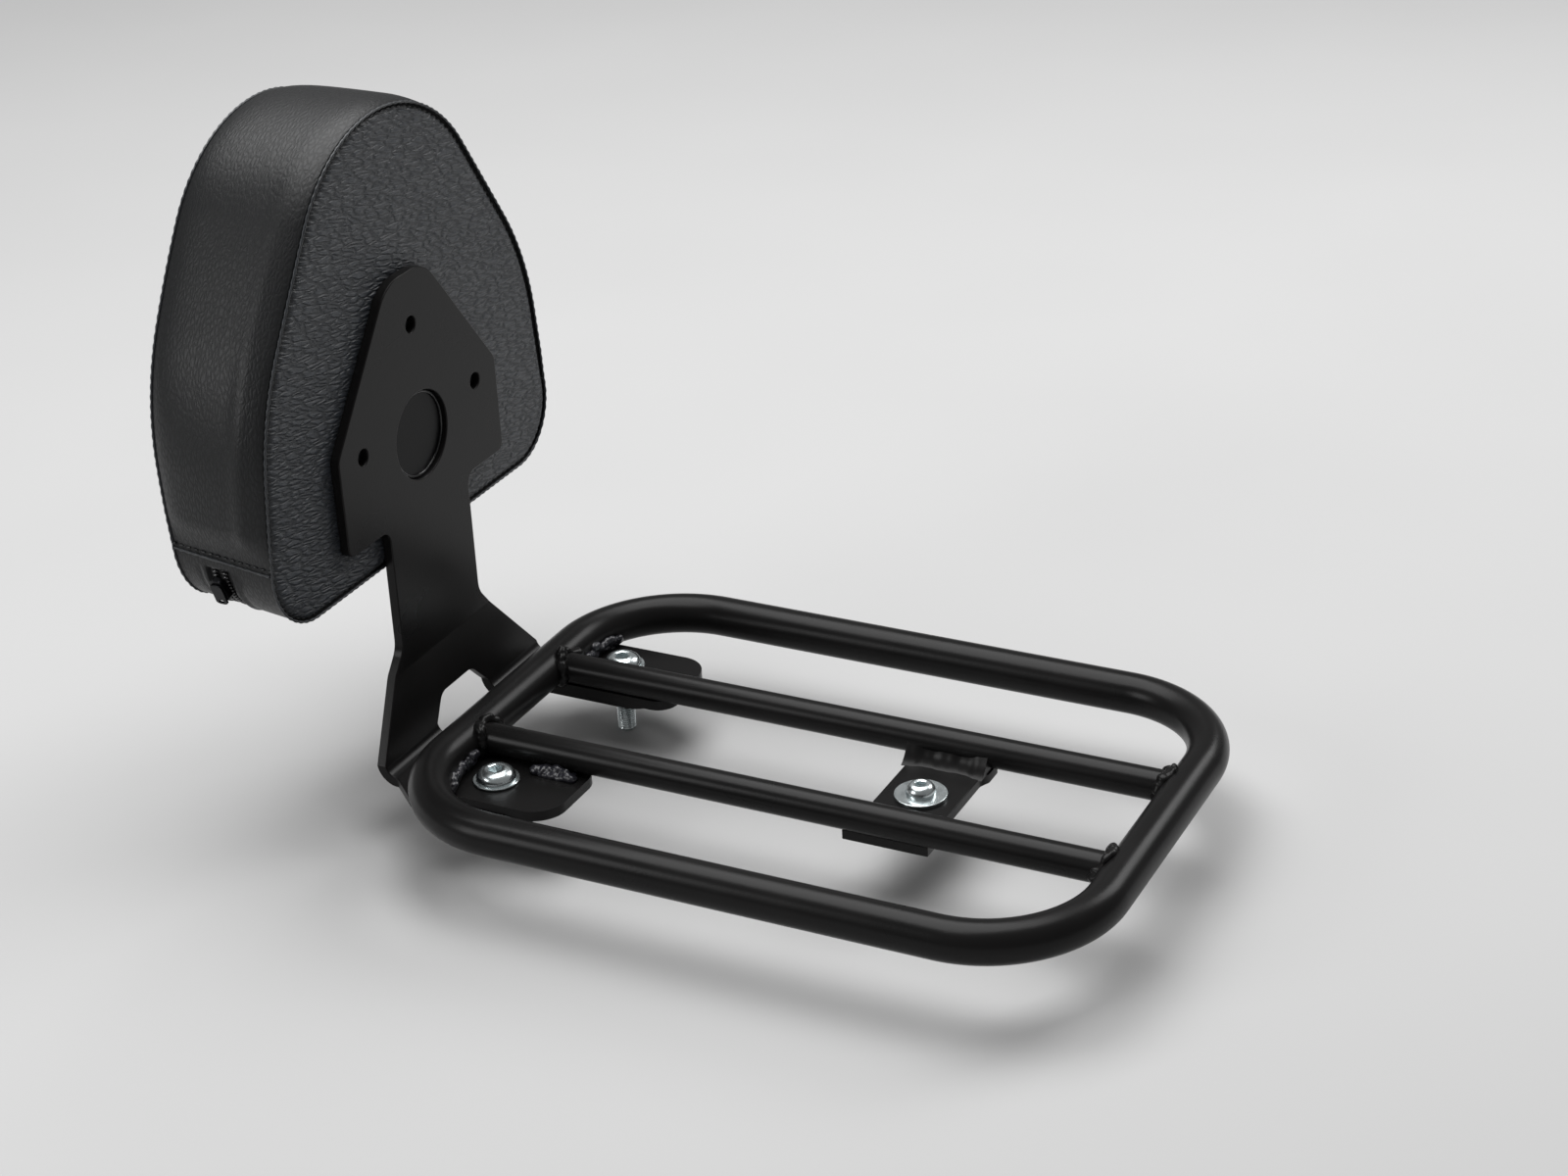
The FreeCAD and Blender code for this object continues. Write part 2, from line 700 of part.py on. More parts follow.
def screw_holes(name, diameter, start, length):
    holes = []
    for k, (x, z) in enumerate(pad_screw_places()):
        holes.append(cylinder(f"{name}_{k}", diameter, length, x, start, z, ALONG_Y))
    return combined("MultiFuse", name, holes)


def keep(name, start, end, low=PAD_FLOOR, high=PAD_CEILING):
    """Block that keeps what lies between two depths and two heights."""
    wide = "pad_base_width"
    return box(name, f"2 * {wide}", f"{end} - ({start})", f"{high} - ({low})", f"-{wide}", start, low)


def pad_core():
    """Board and foam inside the cover."""
    board = pad_sheet("board_blank", "board_inset", "cover_thickness", "board_thickness")
    holes = screw_holes("board_holes", "pad_screw_diameter + hole_play", PAD_REAR, "pad_depth")
    node(cut("pad_board", board, holes), "pad_board")
    foam = combined("MultiCommon", "foam_crowned", [
        pad_block("foam_block", "cover_thickness"),
        crown("foam_crown", "cover_thickness"),
        keep("foam_keep", PAD_CORE_REAR, PAD_BEYOND),
    ])
    seat = f"({PAD_CORE_REAR} + board_thickness)"
    pockets = screw_holes("foam_pockets", "pad_washer_diameter + 2 * hole_play", seat,
                          "pad_washer_thickness + pad_screw_head_height")
    hollow = combined("MultiFuse", "foam_hollow", [board, pockets])
    node(cut("pad_foam", foam, hollow), "pad_foam")


def pad_cover():
    """Rear and front panels, and the band between them with its zip."""
    rear = pad_sheet("rear_sheet", None, "0", "cover_thickness")
    holes = screw_holes("rear_holes", "pad_screw_diameter + hole_play", PAD_REAR, "cover_thickness")
    node(cut("cover_rear_panel", rear, holes), "cover_rear_panel")

    whole = pad_block("cover_block", None)
    under_crown = crown("cover_crown_inner", "cover_thickness")
    front = combined("MultiCommon", "cover_front_block", [whole, crown("cover_crown", "0")])
    node(cut("cover_front_panel", front, under_crown), "cover_front_panel")

    inside = pad_block("cover_inside", "cover_thickness")
    tape_inset = "cover_thickness - zip_tape_thickness"
    tape_top = pad_block("tape_top", tape_inset)
    coil_top = pad_block("coil_top", f"{tape_inset} - zip_coil_height")
    cover = combined("MultiCommon", "cover_strip", [cut("cover_ring", whole, inside), under_crown])
    tape = cut("tape_strip", tape_top, inside)
    coil = cut("coil_strip", coil_top, tape_top)
    rear_edge = f"({ZIP_CENTRE} - zip_gap / 2)"
    front_edge = f"({ZIP_CENTRE} + zip_gap / 2)"
    coil_rear = f"({ZIP_CENTRE} - zip_coil_width / 2)"
    coil_front = f"({ZIP_CENTRE} + zip_coil_width / 2)"
    for label, strip, start, end, low, high in (
        ("cover_side_band", cover, PAD_CORE_REAR, PAD_BEYOND, ZIP_BAND_TOP, PAD_CEILING),
        ("zip_band_rear", cover, PAD_CORE_REAR, rear_edge, PAD_FLOOR, ZIP_BAND_TOP),
        ("zip_band_front", cover, front_edge, PAD_BEYOND, PAD_FLOOR, ZIP_BAND_TOP),
        ("zip_tape", tape, rear_edge, front_edge, PAD_FLOOR, ZIP_BAND_TOP),
        ("zip_coil", coil, coil_rear, coil_front, PAD_FLOOR, ZIP_BAND_TOP),
    ):
        block = keep(f"{label}_keep", start, end, low, high)
        node(combined("MultiCommon", label, [strip, block]), label)


# Zip slider and pull: on the coil at the lower left corner, where the zip is closed
def zip_slider():
    ahead = "zip_offset / pad_depth"
    base = f"((pad_base_width + (pad_front_base_width - pad_base_width) * {ahead}) / 2)"
    shoulder = f"((pad_shoulder_width + (pad_front_shoulder_width - pad_shoulder_width) * {ahead}) / 2)"
    base_angle = f"atan(pad_shoulder_height / ({base} - {shoulder}))"
    centre_x = f"(pad_base_radius / tan({base_angle} / 2) - {base})"
    centre_z = "(pad_bottom + pad_base_radius)"
    proud = "(pad_base_radius + zip_tape_thickness + zip_coil_height - cover_thickness)"
    turn = "(zip_slider_turn * 1 deg)"
    facing_out = Rotation(Vector(0, 1, 0), -90 - value("zip_slider_turn"))
    spot = (f"{centre_x} - {proud} * cos({turn})", ZIP_CENTRE, f"{centre_z} - {proud} * sin({turn})")

    slider = place(doc.addObject("PartDesign::Body", "slider_blank"), *spot, facing_out)
    shield = body_sketch(slider, "shield", "XY")
    nose = "zip_slider_length / 2"
    outline(shield, [
        (nose, "zip_slider_width / 3", "zip_slider_width / 6"),
        (nose, "-zip_slider_width / 3", "zip_slider_width / 6"),
        (f"-{nose}", "-zip_slider_width / 2", "zip_slider_width / 6"),
        (f"-{nose}", "zip_slider_width / 2", "zip_slider_width / 6"),
    ])
    bind(shield, **{"AttachmentOffset.Base.z": "-zip_coil_height"})
    pad(slider, shield, "zip_coil_height + zip_slider_height")
    carried_by = [doc.getObject(name) for name in ("zip_coil", "tape_top")]
    under = combined("MultiFuse", "slider_channel", carried_by)
    node(cut("zip_slider", slider, under), "zip_slider")

    tab = new_body("zip_pull", *spot, facing_out)
    blade = body_sketch(tab, "blade", "XY")
    half = "zip_pull_width / 2"
    tail = f"({nose} - zip_pull_length)"
    outline(blade, [
        (nose, half, f"{half} * 0.8"),
        (nose, f"-{half}", f"{half} * 0.8"),
        (tail, f"-{half}", f"{half} * 0.8"),
        (tail, half, f"{half} * 0.8"),
    ])
    circle(blade, f"{tail} + {half}", "0", half)
    bind(blade, **{"AttachmentOffset.Base.z": "zip_slider_height"})
    pad(tab, blade, "zip_pull_thickness")


# Bolts: two through the rack and the backrest's feet, one through the strap
def bolts():
    bracket_top = BAR_UNDERSIDE
    for side, sign in SIDES:
        button_bolt(f"front_bolt_{side}", "bolt", bracket_top, "bolt_reach",
                    f"{sign} * bolt_spacing / 2", "0", bracket_top, flange="bolt_flange")
    disc("rear_washer", "rear_washer_diameter", "rear_bolt_diameter + hole_play",
         "rear_washer_thickness", "0", "-strap_distance", BAR_UNDERSIDE)
    button_bolt("rear_bolt", "rear_bolt", "strap_thickness + rear_washer_thickness", "rear_bolt_reach",
                "0", "-strap_distance", f"{BAR_UNDERSIDE} + rear_washer_thickness")


ring_envelope = ring_pipe("ring_envelope", "tube_diameter")
rack_ring(ring_envelope)
for side_name, side_sign in SIDES:
    rack_bar(side_name, side_sign)
    front_bracket(side_name, side_sign, ring_envelope)
rear_strap()
welds(ring_envelope)
backrest_bracket()
centre_cap()
pad_fixings()
pad_outline("pad_rear_outline", PAD_REAR, "pad_base_width", "pad_shoulder_width")
pad_outline("pad_front_outline", f"{PAD_REAR} + pad_depth",
            "pad_front_base_width", "pad_front_shoulder_width")
pad_core()
pad_cover()
zip_slider()
bolts()
doc.recompute()

for item in doc.Objects:
    if "Invalid" in item.State or "Error" in item.State:
        raise RuntimeError(f"{item.Label} failed: {item.State}")
for item in nodes:
    if item.Shape.isNull() or not item.Shape.isValid() or not item.Shape.Solids:
        raise RuntimeError(f"{item.Label} has no sound solid")

os.makedirs("parts", exist_ok=True)
for item in nodes:
    item.Shape.exportStep(f"parts/{item.Label}.step")
    print(f"{item.Label}: {len(item.Shape.Solids)} solid, {item.Shape.Volume:.0f} mm3")
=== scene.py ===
# %% [markdown]
# # A rider's backrest on a solo rack
# The object is a padded backrest on one bent steel plate, bolted over a small rack of black
# tube. The solids already have their true sizes and places. This lesson gives them their
# surfaces: it keeps the solids that are right, rounds the edges of those that are too sharp,
# and makes the pad, its seams, its zip and the weld beads anew.

# %% Load the solids
import math

import bmesh
import bpy
import numpy as np
from mathutils import Matrix, Vector


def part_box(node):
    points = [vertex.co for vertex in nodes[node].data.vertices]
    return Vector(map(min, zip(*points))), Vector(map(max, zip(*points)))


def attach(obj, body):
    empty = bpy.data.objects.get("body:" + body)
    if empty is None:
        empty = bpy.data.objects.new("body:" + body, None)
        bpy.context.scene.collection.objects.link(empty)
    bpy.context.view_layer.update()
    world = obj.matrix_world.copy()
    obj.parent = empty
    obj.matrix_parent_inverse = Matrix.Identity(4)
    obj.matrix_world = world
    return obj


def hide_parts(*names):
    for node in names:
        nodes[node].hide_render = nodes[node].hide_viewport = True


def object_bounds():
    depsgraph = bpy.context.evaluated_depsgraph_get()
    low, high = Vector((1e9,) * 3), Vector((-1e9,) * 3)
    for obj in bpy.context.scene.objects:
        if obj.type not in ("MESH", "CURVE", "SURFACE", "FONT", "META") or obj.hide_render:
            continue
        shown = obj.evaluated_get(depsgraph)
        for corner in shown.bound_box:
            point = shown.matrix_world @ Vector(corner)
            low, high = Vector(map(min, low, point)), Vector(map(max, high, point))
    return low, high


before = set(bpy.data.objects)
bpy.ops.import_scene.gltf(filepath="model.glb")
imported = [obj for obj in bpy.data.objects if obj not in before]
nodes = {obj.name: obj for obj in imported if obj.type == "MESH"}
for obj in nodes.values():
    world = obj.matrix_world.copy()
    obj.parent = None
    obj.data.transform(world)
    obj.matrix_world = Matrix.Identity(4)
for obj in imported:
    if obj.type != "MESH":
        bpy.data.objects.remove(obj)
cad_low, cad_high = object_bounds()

scene = bpy.context.scene
MM = 0.001
print("solids:", len(nodes), "overall mm:", [round(v / MM) for v in cad_high - cad_low])

# %% [markdown]
# ## Camera
# The picture was taken from behind the left side, a little above the pad. The three view
# directions and the camera's place were solved from the straight edges of the rack, so they are
# written as plain numbers. A small sideways shift puts the lens's axis where the picture's is.

# %% Place the camera
VIEW_RIGHT = Vector((0.42277, -0.90564, -0.03293))
VIEW_DOWN = Vector((-0.41950, -0.16336, -0.89294))
VIEW_AHEAD = Vector((0.80330, 0.39132, -0.44898))
CAMERA_PLACE = Vector((-878.16, -562.31, 581.27)) * MM

camera = bpy.data.objects.new("camera", bpy.data.cameras.new("camera"))
scene.collection.objects.link(camera)
camera.data.sensor_width = 36.0
camera.data.lens = 70.1
camera.data.shift_x = -0.0544
camera.data.clip_end = 50.0
turn = Matrix((VIEW_RIGHT, -VIEW_DOWN, -VIEW_AHEAD)).transposed()
camera.matrix_world = Matrix.Translation(CAMERA_PLACE) @ turn.to_4x4()
scene.camera = camera
print("camera at mm:", [round(v / MM) for v in CAMERA_PLACE])

# %% [markdown]
# ## Helpers for materials
# Colours are picked as sRGB hex values, but shaders work in linear light, so one function
# converts them. Another adds a node with its settings and its links, because a node tree written
# out link by link is hard to read.

# %% Colour and node helpers
def linear(hex_colour):
    """An sRGB hex colour as linear red, green, blue and alpha."""
    shares = [int(hex_colour[k:k + 2], 16) / 255 for k in (1, 3, 5)]
    return [c / 12.92 if c <= 0.04045 else ((c + 0.055) / 1.055) ** 2.4 for c in shares] + [1.0]


def add(tree, kind, inputs=None, **settings):
    """Add a node: settings are its properties, inputs its sockets, as values or as links."""
    made = tree.nodes.new(kind)
    for name, value in settings.items():
        setattr(made, name, value)
    for socket, value in (inputs or {}).items():
        if isinstance(value, bpy.types.NodeSocket):
            tree.links.new(value, made.inputs[socket])
        else:
            made.inputs[socket].default_value = value
    return made


def new_material(name, coordinates="Object"):
    """An empty material, its node tree, and the coordinates that its patterns read."""
    material = bpy.data.materials.new(name)
    material.use_nodes = True
    tree = material.node_tree
    tree.nodes.clear()
    return material, tree, add(tree, "ShaderNodeTexCoord").outputs[coordinates]


def per_mm(size):
    """A texture scale whose pattern repeats at about this many millimetres."""
    return 1 / (size * MM)


print("helpers ready")

# %% [markdown]
# ## Black powder coat
# The tubes and plates are steel, blasted and powder coated. Baked powder flows out to a satin
# skin with a faint orange peel, a little over a millimetre from bump to bump. It is nearly black,
# and what the eye sees is mostly the soft reflection of the lamp. Weld beads under the same
# powder are glossier, and their ripples are painted lighter towards their crests, as a painted
# highlight where they catch the light.

# %% Powder coat, on plain steel and on welds
powder_coat, tree, place = new_material("satin_black_powder_coat")
peel = add(tree, "ShaderNodeTexNoise", {"Vector": place, "Scale": per_mm(1.3), "Detail": 1.0})
cloud = add(tree, "ShaderNodeTexNoise", {"Vector": place, "Scale": per_mm(28), "Detail": 2.0})
tone = add(tree, "ShaderNodeMix", {0: cloud.outputs["Fac"], 6: linear("#0f0f0f"), 7: linear("#191818")},
           data_type="RGBA")
satin = add(tree, "ShaderNodeMapRange", {"Value": cloud.outputs["Fac"], "To Min": 0.24, "To Max": 0.33})
skin = add(tree, "ShaderNodeBump", {"Height": peel.outputs["Fac"], "Distance": 0.018 * MM})
shader = add(tree, "ShaderNodeBsdfPrincipled", {
    "Base Color": tone.outputs[2], "Roughness": satin.outputs["Result"], "Specular IOR Level": 0.15,
    "Normal": skin.outputs["Normal"]})
add(tree, "ShaderNodeOutputMaterial", {"Surface": shader.outputs["BSDF"]})

weld_coat, tree, place = new_material("powder_coat_over_weld")
ripple = add(tree, "ShaderNodeTexNoise", {"Vector": place, "Scale": per_mm(1.6), "Detail": 3.0})
# Painted highlight: the ripples' crests are painted lighter, up to a violet grey, where they would catch the
# light.
tone = add(tree, "ShaderNodeMix", {0: ripple.outputs["Fac"], 6: linear("#0b0b0d"), 7: linear("#2f2f36")},
           data_type="RGBA")
scaly = add(tree, "ShaderNodeBump", {"Height": ripple.outputs["Fac"], "Distance": 0.3 * MM})
shader = add(tree, "ShaderNodeBsdfPrincipled", {
    "Base Color": tone.outputs[2], "Roughness": 0.28, "Specular IOR Level": 0.5,
    "Normal": scaly.outputs["Normal"]})
add(tree, "ShaderNodeOutputMaterial", {"Surface": shader.outputs["BSDF"]})
print("steel finishes:", powder_coat.name, weld_coat.name)

# %% [markdown]
# ## Plated and blackened metal
# The bolts and washers are zinc plated: a bright, slightly blue metal with a soft clouding from
# the bath. The screws in the pad and the zip's slider are blackened instead, which leaves them
# dark and half dull. The round cap in the plate has a glossy black rim round a matt black face.

# %% Zinc, blackened steel and enamel
zinc, tree, place = new_material("bright_zinc_plate")
bath = add(tree, "ShaderNodeTexNoise", {"Vector": place, "Scale": per_mm(3.5), "Detail": 4.0})
tone = add(tree, "ShaderNodeMix", {0: bath.outputs["Fac"], 6: linear("#c3cbcd"), 7: linear("#e8eff0")},
           data_type="RGBA")
polish = add(tree, "ShaderNodeMapRange", {"Value": bath.outputs["Fac"], "To Min": 0.17, "To Max": 0.32})
cloudy = add(tree, "ShaderNodeBump", {"Height": bath.outputs["Fac"], "Distance": 0.03 * MM})
shader = add(tree, "ShaderNodeBsdfPrincipled", {
    "Base Color": tone.outputs[2], "Metallic": 1.0, "Roughness": polish.outputs["Result"],
    "Normal": cloudy.outputs["Normal"]})
add(tree, "ShaderNodeOutputMaterial", {"Surface": shader.outputs["BSDF"]})

black_oxide, tree, place = new_material("blackened_steel")
oxide = add(tree, "ShaderNodeTexNoise", {"Vector": place, "Scale": per_mm(1.2), "Detail": 3.0})
tone = add(tree, "ShaderNodeMix", {0: oxide.outputs["Fac"], 6: linear("#0e0e10"), 7: linear("#1d1e21")},
           data_type="RGBA")
dull = add(tree, "ShaderNodeMapRange", {"Value": oxide.outputs["Fac"], "To Min": 0.25, "To Max": 0.42})
shader = add(tree, "ShaderNodeBsdfPrincipled", {
    "Base Color": tone.outputs[2], "Metallic": 0.8, "Roughness": dull.outputs["Result"]})
add(tree, "ShaderNodeOutputMaterial", {"Surface": shader.outputs["BSDF"]})

enamel, tree, place = new_material("black_enamel")
flow = add(tree, "ShaderNodeTexNoise", {"Vector": place, "Scale": per_mm(6), "Detail": 2.0})
tone = add(tree, "ShaderNodeMix", {0: flow.outputs["Fac"], 6: linear("#060607"), 7: linear("#0d0d0f")},
           data_type="RGBA")
film = add(tree, "ShaderNodeBump", {"Height": flow.outputs["Fac"], "Distance": 0.02 * MM})
shader = add(tree, "ShaderNodeBsdfPrincipled", {
    "Base Color": tone.outputs[2], "Roughness": 0.12, "Specular IOR Level": 0.5,
    "Normal": film.outputs["Normal"]})
add(tree, "ShaderNodeOutputMaterial", {"Surface": shader.outputs["BSDF"]})

matt_enamel, tree, place = new_material("matt_black_enamel")
dust = add(tree, "ShaderNodeTexNoise", {"Vector": place, "Scale": per_mm(0.8), "Detail": 3.0})
tone = add(tree, "ShaderNodeMix", {0: dust.outputs["Fac"], 6: linear("#040405"), 7: linear("#0a0a0b")},
           data_type="RGBA")
grit = add(tree, "ShaderNodeBump", {"Height": dust.outputs["Fac"], "Distance": 0.02 * MM})
shader = add(tree, "ShaderNodeBsdfPrincipled", {
    "Base Color": tone.outputs[2], "Roughness": 0.3, "Specular IOR Level": 0.1,
    "Normal": grit.outputs["Normal"]})
add(tree, "ShaderNodeOutputMaterial", {"Surface": shader.outputs["BSDF"]})
print("metal finishes:", zinc.name, black_oxide.name, enamel.name, matt_enamel.name)

# %% [markdown]
# ## Leatherette
# The pad's cover is vinyl on cloth, embossed like hide. The two panels have long pebbles, about 7
# by 2 mm, that lie nearly level, with fine creases between them. The band round the edge has a
# finer, flatter grain. Both patterns follow the cover's own map, in metres along and across the
# cloth, so they stay put on the curves. The pebbles are the cells round scattered points, and
# some noise bends them, because a hide's cells are never straight. The creases between pebbles
# are painted darker and the pebble tops lighter, as painted shade, with a random mottle on top.
# An attribute of the mesh tells how deep in a seam a point lies, and the cover is painted near
# black there, as painted shade in the seam's groove, and made dull. The edges that are turned in
# along a seam are painted a little paler, as a painted highlight along their ridge.

# %% Grained and fine-grained leatherette
def leatherette(name, dark, light, grain, slant, relief, gloss, shine):
    """Vinyl with pebbles of a length and height, a slant in degrees, a relief, roughness and shine."""
    material, tree, cloth = new_material(name, "UV")
    pebble_size = (grain[0] * MM, grain[1] * MM, 1.0)
    laid = add(tree, "ShaderNodeMapping", {"Vector": cloth, "Rotation": (0.0, 0.0, math.radians(slant)),
                                           "Scale": pebble_size}, vector_type="TEXTURE")
    grid = laid.outputs["Vector"]
    drift = add(tree, "ShaderNodeTexNoise", {"Vector": grid, "Scale": 0.7, "Detail": 2.0})
    bent = add(tree, "ShaderNodeVectorMath", {0: drift.outputs["Color"], 1: (1.6, 1.6, 0.0), 2: grid},
               operation="MULTIPLY_ADD")
    pebble = add(tree, "ShaderNodeTexVoronoi", {"Vector": bent.outputs["Vector"], "Scale": 1.0},
                 voronoi_dimensions="2D", feature="DISTANCE_TO_EDGE")
    dome = add(tree, "ShaderNodeMapRange", {"Value": pebble.outputs["Distance"], "From Max": 0.36},
               interpolation_type="SMOOTHSTEP")
    crumple = add(tree, "ShaderNodeTexNoise", {"Vector": grid, "Scale": 1.7, "Detail": 3.0})
    height = add(tree, "ShaderNodeMath", {0: crumple.outputs["Fac"], 1: 1.3, 2: dome.outputs["Result"]},
                 operation="MULTIPLY_ADD")
    # Painted shade: the creases between pebbles get the dark colour and the pebble tops the light one, and
    # the crumple noise mottles the tone at random.
    pebble_shade_and_mottle = add(tree, "ShaderNodeMath", {0: dome.outputs["Result"], 1: crumple.outputs["Fac"]},
                operation="MULTIPLY")
    tone = add(tree, "ShaderNodeMix", {0: pebble_shade_and_mottle.outputs["Value"], 6: linear(dark), 7: linear(light)},
               data_type="RGBA")
    # Painted shade in the seam grooves: where the mesh attribute is high, the colour goes to near black and
    # the cover is made dull.
    seam_shade_mask = add(tree, "ShaderNodeAttribute", attribute_name="seam_shade_mask").outputs["Fac"]
    seam_shaded_tone = add(tree, "ShaderNodeMix", {0: seam_shade_mask, 6: tone.outputs[2], 7: linear("#030303")},
               data_type="RGBA")
    sheen = add(tree, "ShaderNodeMapRange", {"Value": height.outputs["Value"], "From Max": 1.6,
                                             "To Min": gloss + 0.14, "To Max": gloss})
    emboss = add(tree, "ShaderNodeBump", {"Height": height.outputs["Value"], "Distance": relief * MM})
    dulled = add(tree, "ShaderNodeMath", {0: sheen.outputs["Result"], 1: seam_shade_mask}, operation="MAXIMUM")
    shader = add(tree, "ShaderNodeBsdfPrincipled", {
        "Base Color": seam_shaded_tone.outputs[2], "Roughness": dulled.outputs["Value"],
        "Specular IOR Level": shine, "Normal": emboss.outputs["Normal"]})
    add(tree, "ShaderNodeOutputMaterial", {"Surface": shader.outputs["BSDF"]})
    return material


grained = leatherette("grained_vinyl_leatherette", "#1f2226", "#3c4046", grain=(7.2, 1.9), slant=-13,
                      relief=0.38, gloss=0.40, shine=0.5)
smooth = leatherette("fine_grained_vinyl_leatherette", "#0d0e0f", "#1c1d1f", grain=(3.4, 1.5), slant=0,
                     relief=0.05, gloss=0.40, shine=0.34)

turned_edge, tree, place = new_material("turned_vinyl_edge")
edge_mottle = add(tree, "ShaderNodeTexNoise", {"Vector": place, "Scale": per_mm(2.2), "Detail": 2.0})
# Painted highlight: the turned edges are painted a little paler than the band, for the light along their
# ridge, and the noise mottles the tone at random.
tone = add(tree, "ShaderNodeMix", {0: edge_mottle.outputs["Fac"], 6: linear("#17181a"), 7: linear("#393c40")},
           data_type="RGBA")
nap = add(tree, "ShaderNodeBump", {"Height": edge_mottle.outputs["Fac"], "Distance": 0.1 * MM})
shader = add(tree, "ShaderNodeBsdfPrincipled", {
    "Base Color": tone.outputs[2], "Roughness": 0.38, "Normal": nap.outputs["Normal"]})
add(tree, "ShaderNodeOutputMaterial", {"Surface": shader.outputs["BSDF"]})
print("cover:", grained.name, smooth.name, turned_edge.name)

# %% [markdown]
# ## Thread, zip and core
# The seams are sewn with black bonded nylon. The zip is a glossy nylon coil on dull woven tape.
# The thread's twist and the tape's weave are too fine to show in a picture, so both are drawn
# coarser than they are. The board in the pad is plywood; it is out of sight but it is part of
# the object, so it gets its grain too.

# %% Thread, tape, coil and plywood
thread, tree, place = new_material("bonded_nylon_thread")
strand = add(tree, "ShaderNodeTexWave", {"Vector": place, "Scale": per_mm(4.0), "Distortion": 1.0},
             bands_direction="DIAGONAL")
tone = add(tree, "ShaderNodeMix", {0: strand.outputs["Fac"], 6: linear("#08090a"), 7: linear("#1d1f21")},
           data_type="RGBA")
twist = add(tree, "ShaderNodeBump", {"Height": strand.outputs["Fac"], "Distance": 0.08 * MM})
shader = add(tree, "ShaderNodeBsdfPrincipled", {
    "Base Color": tone.outputs[2], "Roughness": 0.36, "Normal": twist.outputs["Normal"]})
add(tree, "ShaderNodeOutputMaterial", {"Surface": shader.outputs["BSDF"]})

tape_weave, tree, place = new_material("woven_polyester_tape")
weave = add(tree, "ShaderNodeTexVoronoi", {"Vector": place, "Scale": per_mm(0.9)})
tone = add(tree, "ShaderNodeMix", {0: weave.outputs["Distance"], 6: linear("#050506"), 7: linear("#131315")},
           data_type="RGBA")
cross = add(tree, "ShaderNodeBump", {"Height": weave.outputs["Distance"], "Distance": 0.12 * MM})
shader = add(tree, "ShaderNodeBsdfPrincipled", {
    "Base Color": tone.outputs[2], "Roughness": 0.8, "Normal": cross.outputs["Normal"]})
add(tree, "ShaderNodeOutputMaterial", {"Surface": shader.outputs["BSDF"]})

nylon, tree, place = new_material("moulded_nylon")
melt = add(tree, "ShaderNodeTexNoise", {"Vector": place, "Scale": per_mm(1.5), "Detail": 2.0})
tone = add(tree, "ShaderNodeMix", {0: melt.outputs["Fac"], 6: linear("#0d0d0e"), 7: linear("#1c1c1e")},
           data_type="RGBA")
glossy = add(tree, "ShaderNodeBump", {"Height": melt.outputs["Fac"], "Distance": 0.03 * MM})
shader = add(tree, "ShaderNodeBsdfPrincipled", {
    "Base Color": tone.outputs[2], "Roughness": 0.16, "Specular IOR Level": 0.8,
    "Normal": glossy.outputs["Normal"]})
add(tree, "ShaderNodeOutputMaterial", {"Surface": shader.outputs["BSDF"]})

plywood, tree, place = new_material("birch_plywood")
plies = add(tree, "ShaderNodeMapping", {"Vector": place, "Scale": (per_mm(60), per_mm(2), per_mm(3))})
figure = add(tree, "ShaderNodeTexNoise", {"Vector": plies.outputs["Vector"], "Scale": 1.0, "Detail": 4.0})
tone = add(tree, "ShaderNodeMix", {0: figure.outputs["Fac"], 6: linear("#a9855a"), 7: linear("#d6b88a")},
           data_type="RGBA")
sawn = add(tree, "ShaderNodeBump", {"Height": figure.outputs["Fac"], "Distance": 0.1 * MM})
shader = add(tree, "ShaderNodeBsdfPrincipled", {
    "Base Color": tone.outputs[2], "Roughness": 0.7, "Normal": sawn.outputs["Normal"]})
add(tree, "ShaderNodeOutputMaterial", {"Surface": shader.outputs["BSDF"]})
print("sewing and core:", thread.name, tape_weave.name, nylon.name, plywood.name)

# %% [markdown]
# ## Solids that only need softer edges
# A plate cut by laser has small broken edges, which catch a bright line of light. Each of these
# solids is copied, its loose triangles are joined, its flat faces are made whole, and its sharp
# edges get a narrow round. Weighted normals keep the flat faces flat to the eye, so that only
# the rounds bend the light.

# %% Round the edges of plates and bars
SHADED_SHARP = math.radians(40)
SHARP_EDGE = math.radians(32)
SQUARE_CORNER = math.radians(60)


def finished(piece, replaced=()):
    """Tie a piece to the object, and hide the solids that it stands for."""
    if piece.name not in scene.collection.objects:
        scene.collection.objects.link(piece)
    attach(piece, "root")
    if replaced:
        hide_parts(*replaced)
    return piece


def flat_kept(name, mesh):
    """An object of a mesh whose shading follows its largest faces."""
    mesh.shade_smooth()
    mesh.set_sharp_from_angle(angle=SHADED_SHARP)
    holder = bpy.data.objects.new(name + "_raw", mesh)
    scene.collection.objects.link(holder)
    weighing = holder.modifiers.new("flat_faces", "WEIGHTED_NORMAL")
    weighing.keep_sharp = True
    weighing.weight = 80
    kept = bpy.data.meshes.new_from_object(holder.evaluated_get(bpy.context.evaluated_depsgraph_get()))
    bpy.data.objects.remove(holder)
    return bpy.data.objects.new(name, kept)


